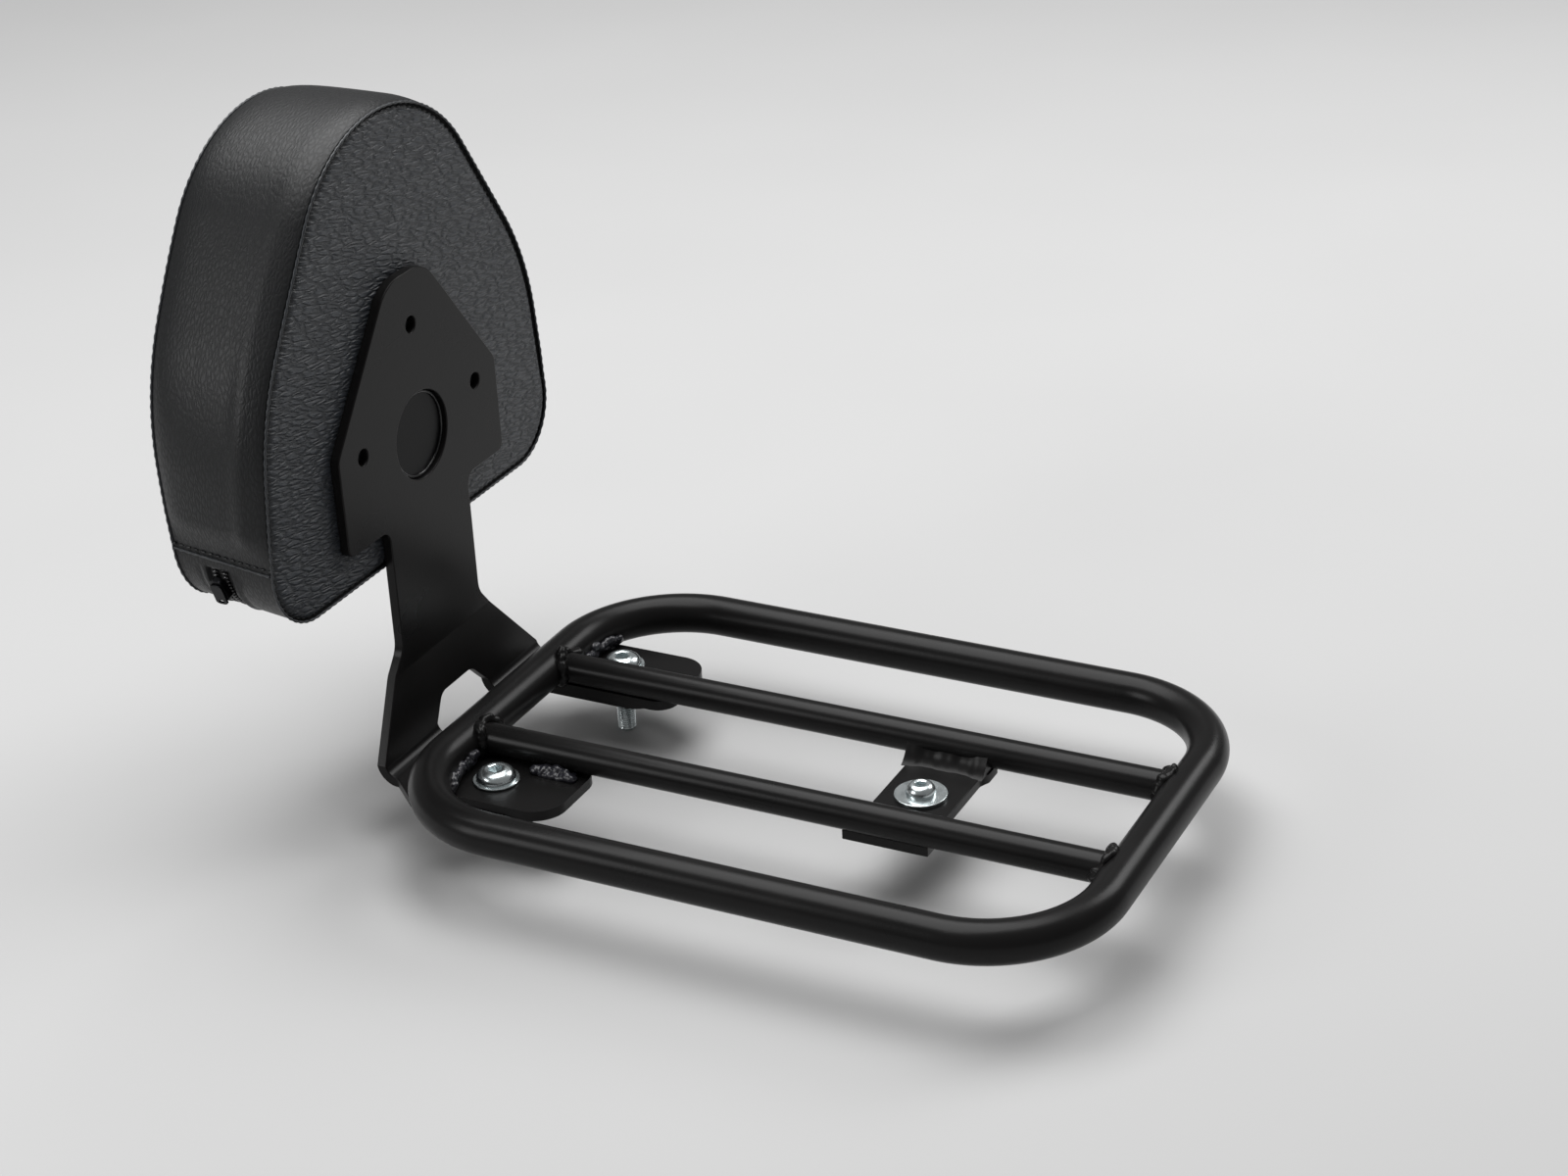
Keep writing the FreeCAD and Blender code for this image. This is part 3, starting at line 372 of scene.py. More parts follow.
def edge_rounded(node, material, edge, shape=None, corner=0):
    """A copy of a solid with its sharp edges, and its rear corners if asked, rounded to some mm."""
    build = bmesh.new()
    build.from_mesh(nodes[node].data)
    bmesh.ops.remove_doubles(build, verts=build.verts, dist=1e-6)
    bmesh.ops.dissolve_limit(build, angle_limit=math.radians(0.5), verts=build.verts, edges=build.edges)
    if corner:
        middle = sum(end.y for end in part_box(node)) / 2
        upright = [e for e in build.edges if abs(e.verts[0].co.z - e.verts[1].co.z) > 0.9 * e.calc_length()
                   and e.verts[0].co.y < middle and e.calc_face_angle(0) > SQUARE_CORNER]
        bmesh.ops.bevel(build, geom=upright, offset=corner * MM, segments=8, profile=0.5, affect="EDGES")
    sharp = [e for e in build.edges if len(e.link_faces) == 2 and e.calc_face_angle() > SHARP_EDGE]
    bmesh.ops.bevel(build, geom=sharp, offset=edge * MM, segments=3, profile=0.5, affect="EDGES",
                    clamp_overlap=True)
    if shape:
        bmesh.ops.transform(build, matrix=shape, verts=build.verts)
    mesh = bpy.data.meshes.new(node + "_rounded")
    build.to_mesh(mesh)
    build.free()
    mesh.materials.clear()
    mesh.materials.append(material)
    return finished(flat_kept(node + "_rounded", mesh), [node])


PLATE_EDGE = 0.9
BAR_EDGE = 0.2
CAP_FACE_SHARE = 0.40
for node, edge, corner in (
    ("backrest_bracket", PLATE_EDGE, 0),
    ("front_bracket_left", PLATE_EDGE, 8),
    ("front_bracket_right", PLATE_EDGE, 8),
    ("rear_strap", PLATE_EDGE, 0),
    ("rack_bar_left", BAR_EDGE, 0),
    ("rack_bar_right", BAR_EDGE, 0),
):
    edge_rounded(node, powder_coat, edge, corner=corner)
edge_rounded("rear_washer", zinc, 0.25)
cap = edge_rounded("centre_cap", enamel, 0.4)
cap_low, cap_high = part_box("centre_cap")
cap_middle = (cap_low + cap_high) / 2
cap.data.materials.append(matt_enamel)
for polygon in cap.data.polygons:
    off = polygon.center - cap_middle
    if math.hypot(off.x, off.z) < CAP_FACE_SHARE * (cap_high.x - cap_low.x):
        polygon.material_index = 1

hidden_finishes = {"pad_board": plywood}
for word in ("top", "left", "right"):
    hidden_finishes["pad_screw_" + word] = black_oxide
    hidden_finishes["pad_washer_" + word] = zinc
for node, material in hidden_finishes.items():
    nodes[node].data.materials.clear()
    nodes[node].data.materials.append(material)

# %% [markdown]
# ## Domed bolts
# Button-head bolts are cold-headed: a low dome, a thin flange under it where the load is spread,
# and a hexagon socket. A bolt is a turned part, so its profile is a line of radius and height
# that is carried round in a circle. In the socket the circle becomes a hexagon.

# %% Turn the bolts
ROUND = 72
THREAD_PITCH = 1.0
THREAD_DEPTH = 0.32
DOME_RISE = 0.7
DOME_STEPS = 12
SOCKET_DEPTH = 3.2


def turned_bolt(node, under, shank, flange, dome, socket):
    """A bolt from its head's underside and the radii of shank, flange, dome and socket, in mm."""
    low, high = (Vector(corner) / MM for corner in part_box(node))
    axis_x, axis_y = (low.x + high.x) / 2, (low.y + high.y) / 2
    top = high.z + DOME_RISE
    # The profile goes up the threaded shank, out to the flange and over the dome to the socket.
    profile = [(0.0, low.z), (shank - 0.9, low.z), (shank - 0.1, low.z + 0.8)]
    level = low.z + 1.2
    while level < under - 3:
        profile += [(shank, level), (shank - THREAD_DEPTH, level + THREAD_PITCH / 2)]
        level += THREAD_PITCH
    profile += [(shank, under - 2), (shank, under), (flange - 0.3, under), (flange, under + 0.3)]
    rim = 1.1 if flange > dome else 0.3
    profile += [(flange, under + rim - 0.25), (flange - 0.25, under + rim)]
    lip = socket * 1.25
    for k in range(DOME_STEPS + 1):
        turn = math.radians(84 * k / DOME_STEPS)
        height = under + rim + (top - under - rim) * math.sin(turn)
        profile.append((lip + (dome - lip) * math.cos(turn), height))
    profile += [(lip, top)]
    angles = [math.tau * k / ROUND for k in range(ROUND)]
    points = []
    for radius, height in profile:
        points += [(axis_x + radius * math.cos(a), axis_y + radius * math.sin(a), height) for a in angles]
    sixth = math.pi / 6
    bottom = top - SOCKET_DEPTH
    for radius, height in ((socket, top - 0.3), (socket, bottom), (0.0, bottom - 0.1)):
        for a in angles:
            reach = radius * math.cos(sixth) / math.cos((a + sixth) % (2 * sixth) - sixth)
            points.append((axis_x + reach * math.cos(a), axis_y + reach * math.sin(a), height))
    faces = []
    for r in range(len(points) // ROUND - 1):
        for k in range(ROUND):
            d = (k + 1) % ROUND
            faces.append((r * ROUND + k, r * ROUND + d, (r + 1) * ROUND + d, (r + 1) * ROUND + k))
    build = bmesh.new()
    made = [build.verts.new(Vector(p) * MM) for p in points]
    for face in faces:
        build.faces.new([made[k] for k in face])
    bmesh.ops.remove_doubles(build, verts=build.verts, dist=1e-6)
    bmesh.ops.recalc_face_normals(build, faces=build.faces)
    mesh = bpy.data.meshes.new(node + "_turned")
    build.to_mesh(mesh)
    build.free()
    mesh.materials.append(zinc)
    return finished(flat_kept(node + "_turned", mesh), [node])


bracket_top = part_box("front_bracket_right")[1].z / MM
washer_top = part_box("rear_washer")[1].z / MM
for node in ("front_bolt_left", "front_bolt_right"):
    bolt = turned_bolt(node, bracket_top, shank=3.68, flange=8.9, dome=7.6, socket=2.8)
small_bolt = turned_bolt("rear_bolt", washer_top, shank=2.68, flange=5.7, dome=5.7, socket=2.2)
print("bolt:", len(bolt.data.polygons), "faces, small bolt:", len(small_bolt.data.polygons), "faces")

# %% [markdown]
# ## Things that follow a path
# The rack's tube, the welts of the seams, the stitches, the zip's teeth and the weld beads all
# follow a line. Each is a geometry tree that turns a line of edges into a curve and then grows
# something along it. The result is stored as a plain mesh.

# %% Helpers for geometry trees
def new_tree(name, sizes):
    """A geometry tree with a line and named sizes for inputs; returns it and its inputs."""
    tree = bpy.data.node_groups.new(name, "GeometryNodeTree")
    tree.interface.new_socket("Line", in_out="INPUT", socket_type="NodeSocketGeometry")
    for label, kind in sizes.items():
        tree.interface.new_socket(label, in_out="INPUT", socket_type="NodeSocket" + kind)
    tree.interface.new_socket("Piece", in_out="OUTPUT", socket_type="NodeSocketGeometry")
    return tree, add(tree, "NodeGroupInput").outputs


def close_tree(tree, geometry, material):
    """Make instances real, shade them smooth and give them their material."""
    real = add(tree, "GeometryNodeRealizeInstances", {"Geometry": geometry})
    soft = add(tree, "GeometryNodeSetShadeSmooth", {"Geometry": real.outputs[0]})
    coat = add(tree, "GeometryNodeSetMaterial", {"Geometry": soft.outputs[0], "Material": material})
    add(tree, "NodeGroupOutput", {"Piece": coat.outputs[0]})


def grown(name, tree, runs, remesh_mm=None, settle=2, **sizes):
    """Grow a tree along runs of (points in mm, closed), melt it if asked, and keep it as a plain mesh."""
    points, edges = [], []
    for run, closed in runs:
        first = len(points)
        points += [Vector(p) * MM for p in run]
        edges += [(k, k + 1) for k in range(first, len(points) - 1)]
        edges += [(len(points) - 1, first)] if closed else []
    line = bpy.data.meshes.new(name + "_line")
    line.from_pydata(points, edges, [])
    holder = bpy.data.objects.new(name + "_line", line)
    scene.collection.objects.link(holder)
    modifier = holder.modifiers.new("grow", "NODES")
    modifier.node_group = tree
    for label, value in sizes.items():
        modifier[tree.interface.items_tree[label].identifier] = value
    if remesh_mm:
        melting = holder.modifiers.new("melt", "REMESH")
        melting.mode = "VOXEL"
        melting.voxel_size = remesh_mm * MM
        melting.use_smooth_shade = True
        holder.modifiers.new("settle", "SMOOTH").iterations = settle
    mesh = bpy.data.meshes.new_from_object(holder.evaluated_get(bpy.context.evaluated_depsgraph_get()))
    bpy.data.objects.remove(holder)
    mesh.materials.clear()
    mesh.materials.append(sizes["Material"])
    return bpy.data.objects.new(name, mesh)


print("tree helpers ready")

# %% [markdown]
# ## The rack's ring
# The ring is one 16 mm tube, bent at four corners to a 45 mm radius and welded to itself. A round
# profile swept along the rounded rectangle gives it, with enough points at the corners for an
# even highlight. The same tree, with a ripple in its radius, later makes the welts of the seams.

# %% Sweep the ring
tube_tree, given = new_tree("tube_along_a_line", {"Radius": "Float", "Ripple": "Float", "Pitch": "Float",
                                                  "Sides": "Int", "Material": "Material"})
curve = add(tube_tree, "GeometryNodeMeshToCurve", {"Mesh": given["Line"]})
along = add(tube_tree, "GeometryNodeSplineParameter").outputs["Length"]
beat = add(tube_tree, "ShaderNodeMath", {0: along, 1: given["Pitch"]}, operation="DIVIDE")
angle = add(tube_tree, "ShaderNodeMath", {0: beat.outputs[0], 1: math.tau}, operation="MULTIPLY")
wave = add(tube_tree, "ShaderNodeMath", {0: angle.outputs[0]}, operation="SINE")
swell = add(tube_tree, "ShaderNodeMath", {0: wave.outputs[0], 1: given["Ripple"], 2: 1.0},
            operation="MULTIPLY_ADD")
girth = add(tube_tree, "ShaderNodeMath", {0: swell.outputs[0], 1: given["Radius"]}, operation="MULTIPLY")
profile = add(tube_tree, "GeometryNodeCurvePrimitiveCircle", {"Resolution": given["Sides"], "Radius": 1.0})
swept = add(tube_tree, "GeometryNodeCurveToMesh", {
    "Curve": curve.outputs[0], "Profile Curve": profile.outputs[0], "Scale": girth.outputs[0],
    "Fill Caps": True})
close_tree(tube_tree, swept.outputs[0], given["Material"])

ring_low, ring_high = (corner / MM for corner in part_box("rack_ring"))
TUBE_RADIUS = 8.0
BEND_RADIUS = 45.0
ring_level = (ring_low.z + ring_high.z) / 2
front_y = ring_high.y - TUBE_RADIUS
rear_y = ring_low.y + TUBE_RADIUS
bend_x = ring_high.x - TUBE_RADIUS - BEND_RADIUS


def bend(centre_x, centre_y, start, steps=40):
    """Points of a quarter bend, turning to the left from a start angle in degrees."""
    angles = [math.radians(start + 90 * k / steps) for k in range(steps + 1)]
    return [(centre_x + BEND_RADIUS * math.cos(a), centre_y + BEND_RADIUS * math.sin(a), ring_level)
            for a in angles]


ring_line = bend(bend_x, front_y - BEND_RADIUS, 0) + bend(-bend_x, front_y - BEND_RADIUS, 90)
ring_line += bend(-bend_x, rear_y + BEND_RADIUS, 180) + bend(bend_x, rear_y + BEND_RADIUS, 270)
ring = grown("ring_tube", tube_tree, [(ring_line, True)], Radius=TUBE_RADIUS * MM, Ripple=0.0, Pitch=1.0,
             Sides=64, Material=powder_coat)
finished(ring, ["rack_ring"])
print("ring:", len(ring.data.polygons), "faces, box mm:", [round(v / MM) for v in ring.dimensions])

# %% [markdown]
# ## Weld beads
# A hand-laid bead is a row of frozen puddles, each a little different. Small lumps of random size
# are set along the joint, and a voxel remesh melts them together into one bead. Where the torch
# went to and fro, a few rows of lumps make a wide, rough patch.

# %% Lay the beads
bead_tree, given = new_tree("weld_bead", {"Step": "Float", "Lump": "Float", "Stray": "Float", "Seed": "Int",
                                          "Material": "Material"})
curve = add(bead_tree, "GeometryNodeMeshToCurve", {"Mesh": given["Line"]})
puddles = add(bead_tree, "GeometryNodeResampleCurve", {"Curve": curve.outputs[0], "Length": given["Step"]},
              mode="LENGTH")
lump = add(bead_tree, "GeometryNodeMeshIcoSphere", {"Radius": given["Lump"], "Subdivisions": 2})
uneven = add(bead_tree, "FunctionNodeRandomValue",
             {0: (0.55, 0.55, 0.5), 1: (1.3, 1.3, 1.1), "Seed": given["Seed"]}, data_type="FLOAT_VECTOR")
side_step = add(bead_tree, "FunctionNodeRandomValue", {0: (-1.0,) * 3, 1: (1.0,) * 3, "Seed": given["Seed"]},
                data_type="FLOAT_VECTOR")
stray = add(bead_tree, "ShaderNodeVectorMath", {0: side_step.outputs[0], "Scale": given["Stray"]},
            operation="SCALE")
loose = add(bead_tree, "GeometryNodeSetPosition", {
    "Geometry": puddles.outputs[0], "Offset": stray.outputs[0]})
laid = add(bead_tree, "GeometryNodeInstanceOnPoints", {
    "Points": loose.outputs[0], "Instance": lump.outputs[0], "Scale": uneven.outputs[0]})
close_tree(bead_tree, laid.outputs[0], given["Material"])

BAR_RADIUS = 6.0
BEAD_STAND_OFF = 0.5
SADDLE_POINTS = 48
bar_x = sum(corner.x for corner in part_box("rack_bar_right")) / 2 / MM


def saddle(x, y, toward):
    """The line where a bar's end meets the ring's tube, just outside both."""
    line = []
    for k in range(SADDLE_POINTS):
        up = (BAR_RADIUS + BEAD_STAND_OFF) * math.sin(math.tau * k / SADDLE_POINTS)
        out = (BAR_RADIUS + BEAD_STAND_OFF) * math.cos(math.tau * k / SADDLE_POINTS)
        line.append((x + out, y + toward * (math.sqrt(TUBE_RADIUS ** 2 - up ** 2) + 0.6), ring_level + up))
    return line


collars = [(saddle(side * bar_x, y, toward), True)
           for side in (-1, 1) for y, toward in ((front_y, -1), (rear_y, 1))]
bracket_runs = []
for side in (-1, 1):
    # Two rows along the foot of a bar: how far out from the bar, and how high over the bracket.
    for off, up in ((0.8, 1.6), (2.6, 0.6)):
        foot = side * (bar_x + BAR_RADIUS + off)
        bracket_runs.append(([(foot, -27, bracket_top + up), (foot, -12, bracket_top + up)], False))
    # Three rows, one over another, along the ring's bend.
    for up in (0.6, 2.4, 4.4):
        reach = BEND_RADIUS - math.sqrt(TUBE_RADIUS ** 2 - (ring_level - bracket_top - up) ** 2)
        reach -= BEAD_STAND_OFF
        turns = [math.radians(90 - k) for k in range(0, 28, 2)]
        row = [(bend_x - 6, front_y - BEND_RADIUS + reach)]
        row += [(bend_x + reach * math.cos(a), front_y - BEND_RADIUS + reach * math.sin(a))
                for a in turns]
        bracket_runs.append(([(side * x, y, bracket_top + up) for x, y in row], False))
for name, runs, lump_mm, step_mm, stray_mm, settle, seed, node, coat in (
    ("bead_bar_ends", collars, 2.4, 1.2, 0.7, 8, 3, "weld_bar_ends", powder_coat),
    ("bead_brackets", bracket_runs, 2.0, 1.6, 0.9, 2, 5, "weld_brackets", weld_coat),
):
    bead = grown(name, bead_tree, runs, remesh_mm=0.4, settle=settle, Step=step_mm * MM, Lump=lump_mm * MM,
                 Stray=stray_mm * MM, Seed=seed, Material=coat)
    finished(bead, [node])
    print(name, len(bead.data.polygons), "faces")

# %% [markdown]
# ## Smooth fillets on the strap
# The beads between the rear strap and the bars were dressed smooth before coating, so they read as
# hollow fillets that lead from the strap up to the bars. A fillet's cross-section is a hollow
# curve, closed inside the bar, and it is drawn along the strap with a slight waver.

# %% Draw the fillets
FILLET_REACH, FILLET_RISE = 5.0, 5.2
CURVE_STEPS, LENGTH_STEPS = 10, 44
strap_low, strap_high = (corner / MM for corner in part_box("rear_strap"))
fillets = bmesh.new()
for side in (-1, 1):
    sections = []
    for k in range(LENGTH_STEPS + 1):
        y = strap_low.y + 0.6 + (strap_high.y - strap_low.y - 1.2) * k / LENGTH_STEPS
        waver = 1 + 0.05 * math.sin(0.45 * y + side) + 0.02 * math.sin(1.3 * y + 2 * side)
        waver *= 1 + 0.25 * math.cos(math.pi * k / LENGTH_STEPS) ** 6
        section = []
        for q in range(CURVE_STEPS + 1):
            t = q / CURVE_STEPS
            up = FILLET_RISE * waver * t ** 1.5
            behind = math.sqrt(max(BAR_RADIUS ** 2 - (strap_high.z + up - ring_level) ** 2, 0)) * t ** 4
            out = bar_x - behind - FILLET_REACH * waver * (1 - t) - (BAR_RADIUS - 0.3) * (1 - t ** 4)
            section.append((side * out, y, strap_high.z - 0.1 + up))
        section += [(side * (bar_x - 1), y, strap_high.z + 4), (side * (bar_x - 1), y, strap_high.z - 0.1)]
        sections.append([fillets.verts.new(Vector(p) * MM) for p in section])
    for here, there in zip(sections, sections[1:]):
        for q in range(len(here)):
            d = (q + 1) % len(here)
            fillets.faces.new((here[q], here[d], there[d], there[q]))
    fillets.faces.new(sections[0])
    fillets.faces.new(sections[-1])
bmesh.ops.recalc_face_normals(fillets, faces=fillets.faces)
fillet_mesh = bpy.data.meshes.new("strap_fillets")
fillets.to_mesh(fillet_mesh)
fillets.free()
fillet_mesh.materials.append(powder_coat)
finished(flat_kept("strap_fillets", fillet_mesh), ["weld_strap"])
print("fillets:", len(fillet_mesh.polygons), "faces")

# %% [markdown]
# ## The pad's outlines
# The pad has a flat back on a board, a crowned front, and a band between them. Its outline has a
# round top, sloping shoulders and a straight base with round corners, and it is a little narrower
# in front than at the back. Both outlines get the same number of points on the same stretches, so
# that the band can join them point by point.

# %% Points round the pad
PAD_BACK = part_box("cover_rear_panel")[0].y / MM
PAD_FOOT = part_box("cover_rear_panel")[0].z / MM
PAD_HEIGHT = 170.0
PAD_DEPTH = 60.0
CROWN_RADIUS = 500.0
TOP_RADIUS = 61.0
SHOULDER_RADIUS = 105.0
SHOULDER_HEIGHT = 84.0
BASE_RADIUS = 24.0
STRETCH_POINTS = [128, 46, 52, 34, 42, 164, 42, 34, 52, 46]
AROUND = sum(STRETCH_POINTS)


def pad_outline(base, shoulder):
    """Points (x, height) clockwise from the top's left end, arc and straight run by turns."""
    top = PAD_HEIGHT - TOP_RADIUS - SHOULDER_HEIGHT
    slope = math.atan2(top, shoulder / 2) + math.asin(TOP_RADIUS / math.hypot(shoulder / 2, top))
    corners = [(0, SHOULDER_HEIGHT + shoulder / 2 * math.tan(slope), TOP_RADIUS),
               (shoulder / 2, SHOULDER_HEIGHT, SHOULDER_RADIUS), (base / 2, 0, BASE_RADIUS),
               (-base / 2, 0, BASE_RADIUS), (-shoulder / 2, SHOULDER_HEIGHT, SHOULDER_RADIUS)]
    arcs = []
    for k, (x, z, radius) in enumerate(corners):
        here = np.array((x, z), float)
        before = np.array(corners[k - 1][:2]) - here
        after = np.array(corners[(k + 1) % 5][:2]) - here
        before, after = before / np.linalg.norm(before), after / np.linalg.norm(after)
        half = math.acos(before @ after) / 2
        centre = here + (before + after) / np.linalg.norm(before + after) * radius / math.sin(half)
        run = radius / math.tan(half)
        arcs.append((here + before * run, here + after * run, centre, radius))
    points = []
    for k, (start, end, centre, radius) in enumerate(arcs):
        first, last = (math.atan2(*(p - centre)[::-1]) for p in (start, end))
        sweep = (last - first + math.pi) % math.tau - math.pi
        turns = first + sweep * np.arange(STRETCH_POINTS[2 * k]) / STRETCH_POINTS[2 * k]
        points.append(centre + radius * np.column_stack((np.cos(turns), np.sin(turns))))
        shares = np.arange(STRETCH_POINTS[2 * k + 1])[:, None] / STRETCH_POINTS[2 * k + 1]
        points.append(end + (arcs[(k + 1) % 5][0] - end) * shares)
    return np.vstack(points)


rear_line = pad_outline(base=196.0, shoulder=177.4)
front_line = pad_outline(base=177.0, shoulder=169.0)
ahead = np.roll(rear_line, -1, 0) - np.roll(rear_line, 1, 0)
outward = np.column_stack((-ahead[:, 1], ahead[:, 0])) / np.linalg.norm(ahead, axis=1)[:, None]
seam_steps = np.linalg.norm(np.roll(rear_line, -1, 0) - rear_line, axis=1)
seam_run = np.concatenate(([0], np.cumsum(seam_steps)))
print("outline:", AROUND, "points,", round(seam_run[-1]), "mm round, width mm:",
      round(np.ptp(rear_line[:, 0]), 1))

# %% [markdown]
# ## The pad's surface
# Rings of points are laid over the pad: on the back panel, across the band and on the front
# panel, closer together at the seams and beside the zip. Each stitch of a turned seam pulls the
# cloth in, so the panels have small puckers that fade a few millimetres from the seam. The band
# swells between its seams, most at the sides, and is flat along the base, where a slot shows the
# zip. Fewer points are kept on the rings near a panel's middle, because nothing happens there.

# %% Rings over the pad
ZIP_AHEAD = 27.5
ZIP_HALF = 6.0
ZIP_TOP = 28.0
SLOT_DEPTH = 2.0
PUCKER_PITCH = 3.6
PUCKER_LIFT = 0.28
PUCKER_FADE = 2.6
GROOVE_DEPTH = 1.6
GROOVE_WIDTH = 1.5
BAND_SWELL = 4.2
PANEL_MIDDLE = (0, 80)
lap = math.tau * seam_run[:-1] / seam_run[-1]
pucker_count = round(seam_run[-1] / PUCKER_PITCH)
pucker = np.cos(pucker_count * lap + 0.8 * np.sin(7 * lap + 1.3) + 0.5 * np.sin(17 * lap + 0.4))
pucker *= 0.7 + 0.3 * np.sin(11 * lap + 2.1)


def crown(flat):
    """How far ahead the crowned front lies over points (x, height)."""
    square = CROWN_RADIUS ** 2 - flat[:, 0] ** 2 - (flat[:, 1] - PAD_HEIGHT / 2) ** 2
    return PAD_BACK + PAD_DEPTH - CROWN_RADIUS + np.sqrt(square)


def eased(value):
    """A soft step from 0 to 1."""
    value = np.clip(value, 0, 1)
    return value * value * (3 - 2 * value)


def on_panel(line, step_in, share, out):
    """A ring of a panel, some way in from its seam, then drawn toward the panel's middle."""
    flat = (line - outward * (step_in + 0.3) - PANEL_MIDDLE) * share + PANEL_MIDDLE
    level = crown(flat) if out > 0 else np.full(AROUND, PAD_BACK)
    lift = PUCKER_LIFT * math.exp(-step_in / PUCKER_FADE) * pucker * (step_in > 0.3)
    lift = lift - GROOVE_DEPTH * math.exp(-(step_in / GROOVE_WIDTH) ** 2)
    return np.column_stack((flat[:, 0], level + out * lift, flat[:, 1] + PAD_FOOT))


# Each ring of a panel: how far in from the seam, its share of that size, and each how many points.
PANEL_RINGS = [(0.5, 1, 1), (1.0, 1, 1), (1.5, 1, 1), (2.1, 1, 1), (3.0, 1, 1), (4.4, 1, 1), (6.5, 1, 2),
               (9.5, 1, 2), (13, 1, 4), (13, 0.85, 4), (13, 0.7, 8), (13, 0.55, 8), (13, 0.4, 16),
               (13, 0.25, 16), (13, 0.11, 32)]
front_level = crown(front_line) - PAD_BACK


def on_band(v):
    """A ring of the band; v is how far each point lies ahead of the rear seam."""
    share = (v / front_level)[:, None]
    flat = rear_line * (1 - share) + front_line * share
    height = flat[:, 1]
    # The band is flat by the zip, fullest at the sides and a little less full over the top.
    side = eased((height - ZIP_TOP) / 14) * (1 - 0.35 * eased((height - 120) / 45))
    swell = BAND_SWELL * (1 - np.exp(-v / 4.2)) * (1 - np.exp(-(front_level - v) / 5.5))
    # A soft crest runs along the sides near the rear seam, and the cross seam dips in.
    crest = np.exp(-((v - 10.5) / 3.0) ** 2) * np.abs(outward[:, 0]) ** 2
    seam_dip = 0.55 * np.exp(-((height - ZIP_TOP) / 1.1) ** 2)
    # The slot ends below the cross seam, and each of its lips is a hem with a row of sewing.
    opening = eased((ZIP_TOP - 5 - height) / 1.5)
    off_edge = np.abs(v - ZIP_AHEAD) - ZIP_HALF
    sunk = SLOT_DEPTH * (off_edge < 0) * opening
    hem = 0.5 * np.exp(-((off_edge - 1.2) / 0.9) ** 2) - 0.35 * np.exp(-((off_edge - 3.6) / 0.6) ** 2)
    hem = hem * opening * (off_edge > 0)
    rise = (swell + crest) * side - seam_dip * (swell > 0.6) - sunk + hem
    flat = flat + outward * rise[:, None]
    return np.column_stack((flat[:, 0], PAD_BACK + v, flat[:, 1] + PAD_FOOT))


# How far ahead of the rear seam the band's rings lie, in mm, up to the middle of the zip.
steps_to_zip = [0.6, 1.4, 2.6, 4.2, 6.2, 8.4, 10.6, 13, 15.4, 17.2, 17.9, 18.6, 19.4, 20.3, 21.0, 21.4,
                21.6, 24.5]
steps_past_zip = [2 * ZIP_AHEAD - v for v in steps_to_zip[:7:-1]]
band_steps = [np.full(AROUND, v) for v in steps_to_zip + [ZIP_AHEAD] + steps_past_zip]
beyond = band_steps[-1]
band_steps += [beyond + (front_level - beyond) * share
               for share in (0.2, 0.4, 0.58, 0.74, 0.86, 0.93, 0.97)]
rear_seam = len(PANEL_RINGS)
front_seam = rear_seam + len(band_steps) + 1
rings = [on_panel(rear_line, d, f, -1) for d, f, _ in PANEL_RINGS[::-1]]
rings += [on_panel(rear_line, 0, 1, -1)] + [on_band(v) for v in band_steps]
rings += [on_panel(front_line, 0, 1, 1)] + [on_panel(front_line, d, f, 1) for d, f, _ in PANEL_RINGS]
panel_strides = [s for _, _, s in PANEL_RINGS]
strides = panel_strides[::-1] + [1] * (len(band_steps) + 2) + panel_strides
rings = np.array(rings)
print("rings over the pad:", len(rings), "band mm:", round(front_level.min()), "to",
      round(front_level.max()))

# %% [markdown]
# ## Stuffing
# Foam presses the cover outward, and the cover gives most where no seam or board holds it. A
# cloth simulation finds that shape: a coarse net of the same rings is blown up a little, with the
# seams, the back panel and the zip held. How far each point moved is then spread over the fine
# rings, softly limited, because a firm pad gives only a millimetre or two.

# %% Blow up the cover
NET_STEP = 4
NET_PITCH = 3.0
SEAM_CLEAR = 2.5
ZIP_HOLD = 7.0
GIVE = 2.2
CLOTH_FRAMES = 20


def net_mesh(name, net):
    """A closed net of rings with a point in the middle of each end."""
    count, columns = net.shape[:2]
    points = [p for ring in net for p in ring] + [net[0].mean(0), net[-1].mean(0)]
    back, front = len(points) - 2, len(points) - 1
    faces = []
    for c in range(columns):
        d = (c + 1) % columns
        for r in range(count - 1):
            here, there = r * columns, (r + 1) * columns
            faces.append((here + c, here + d, there + d, there + c))
        faces += [(back, d, c), ((count - 1) * columns + c, (count - 1) * columns + d, front)]
    mesh = bpy.data.meshes.new(name)
    mesh.from_pydata(np.array(points) * MM, [], faces)
    outside_out(mesh)
    return mesh


def outside_out(mesh):
    """Point all faces of a closed mesh outward."""
    turning = bmesh.new()
    turning.from_mesh(mesh)
    bmesh.ops.recalc_face_normals(turning, faces=turning.faces)
    turning.to_mesh(mesh)
    turning.free()


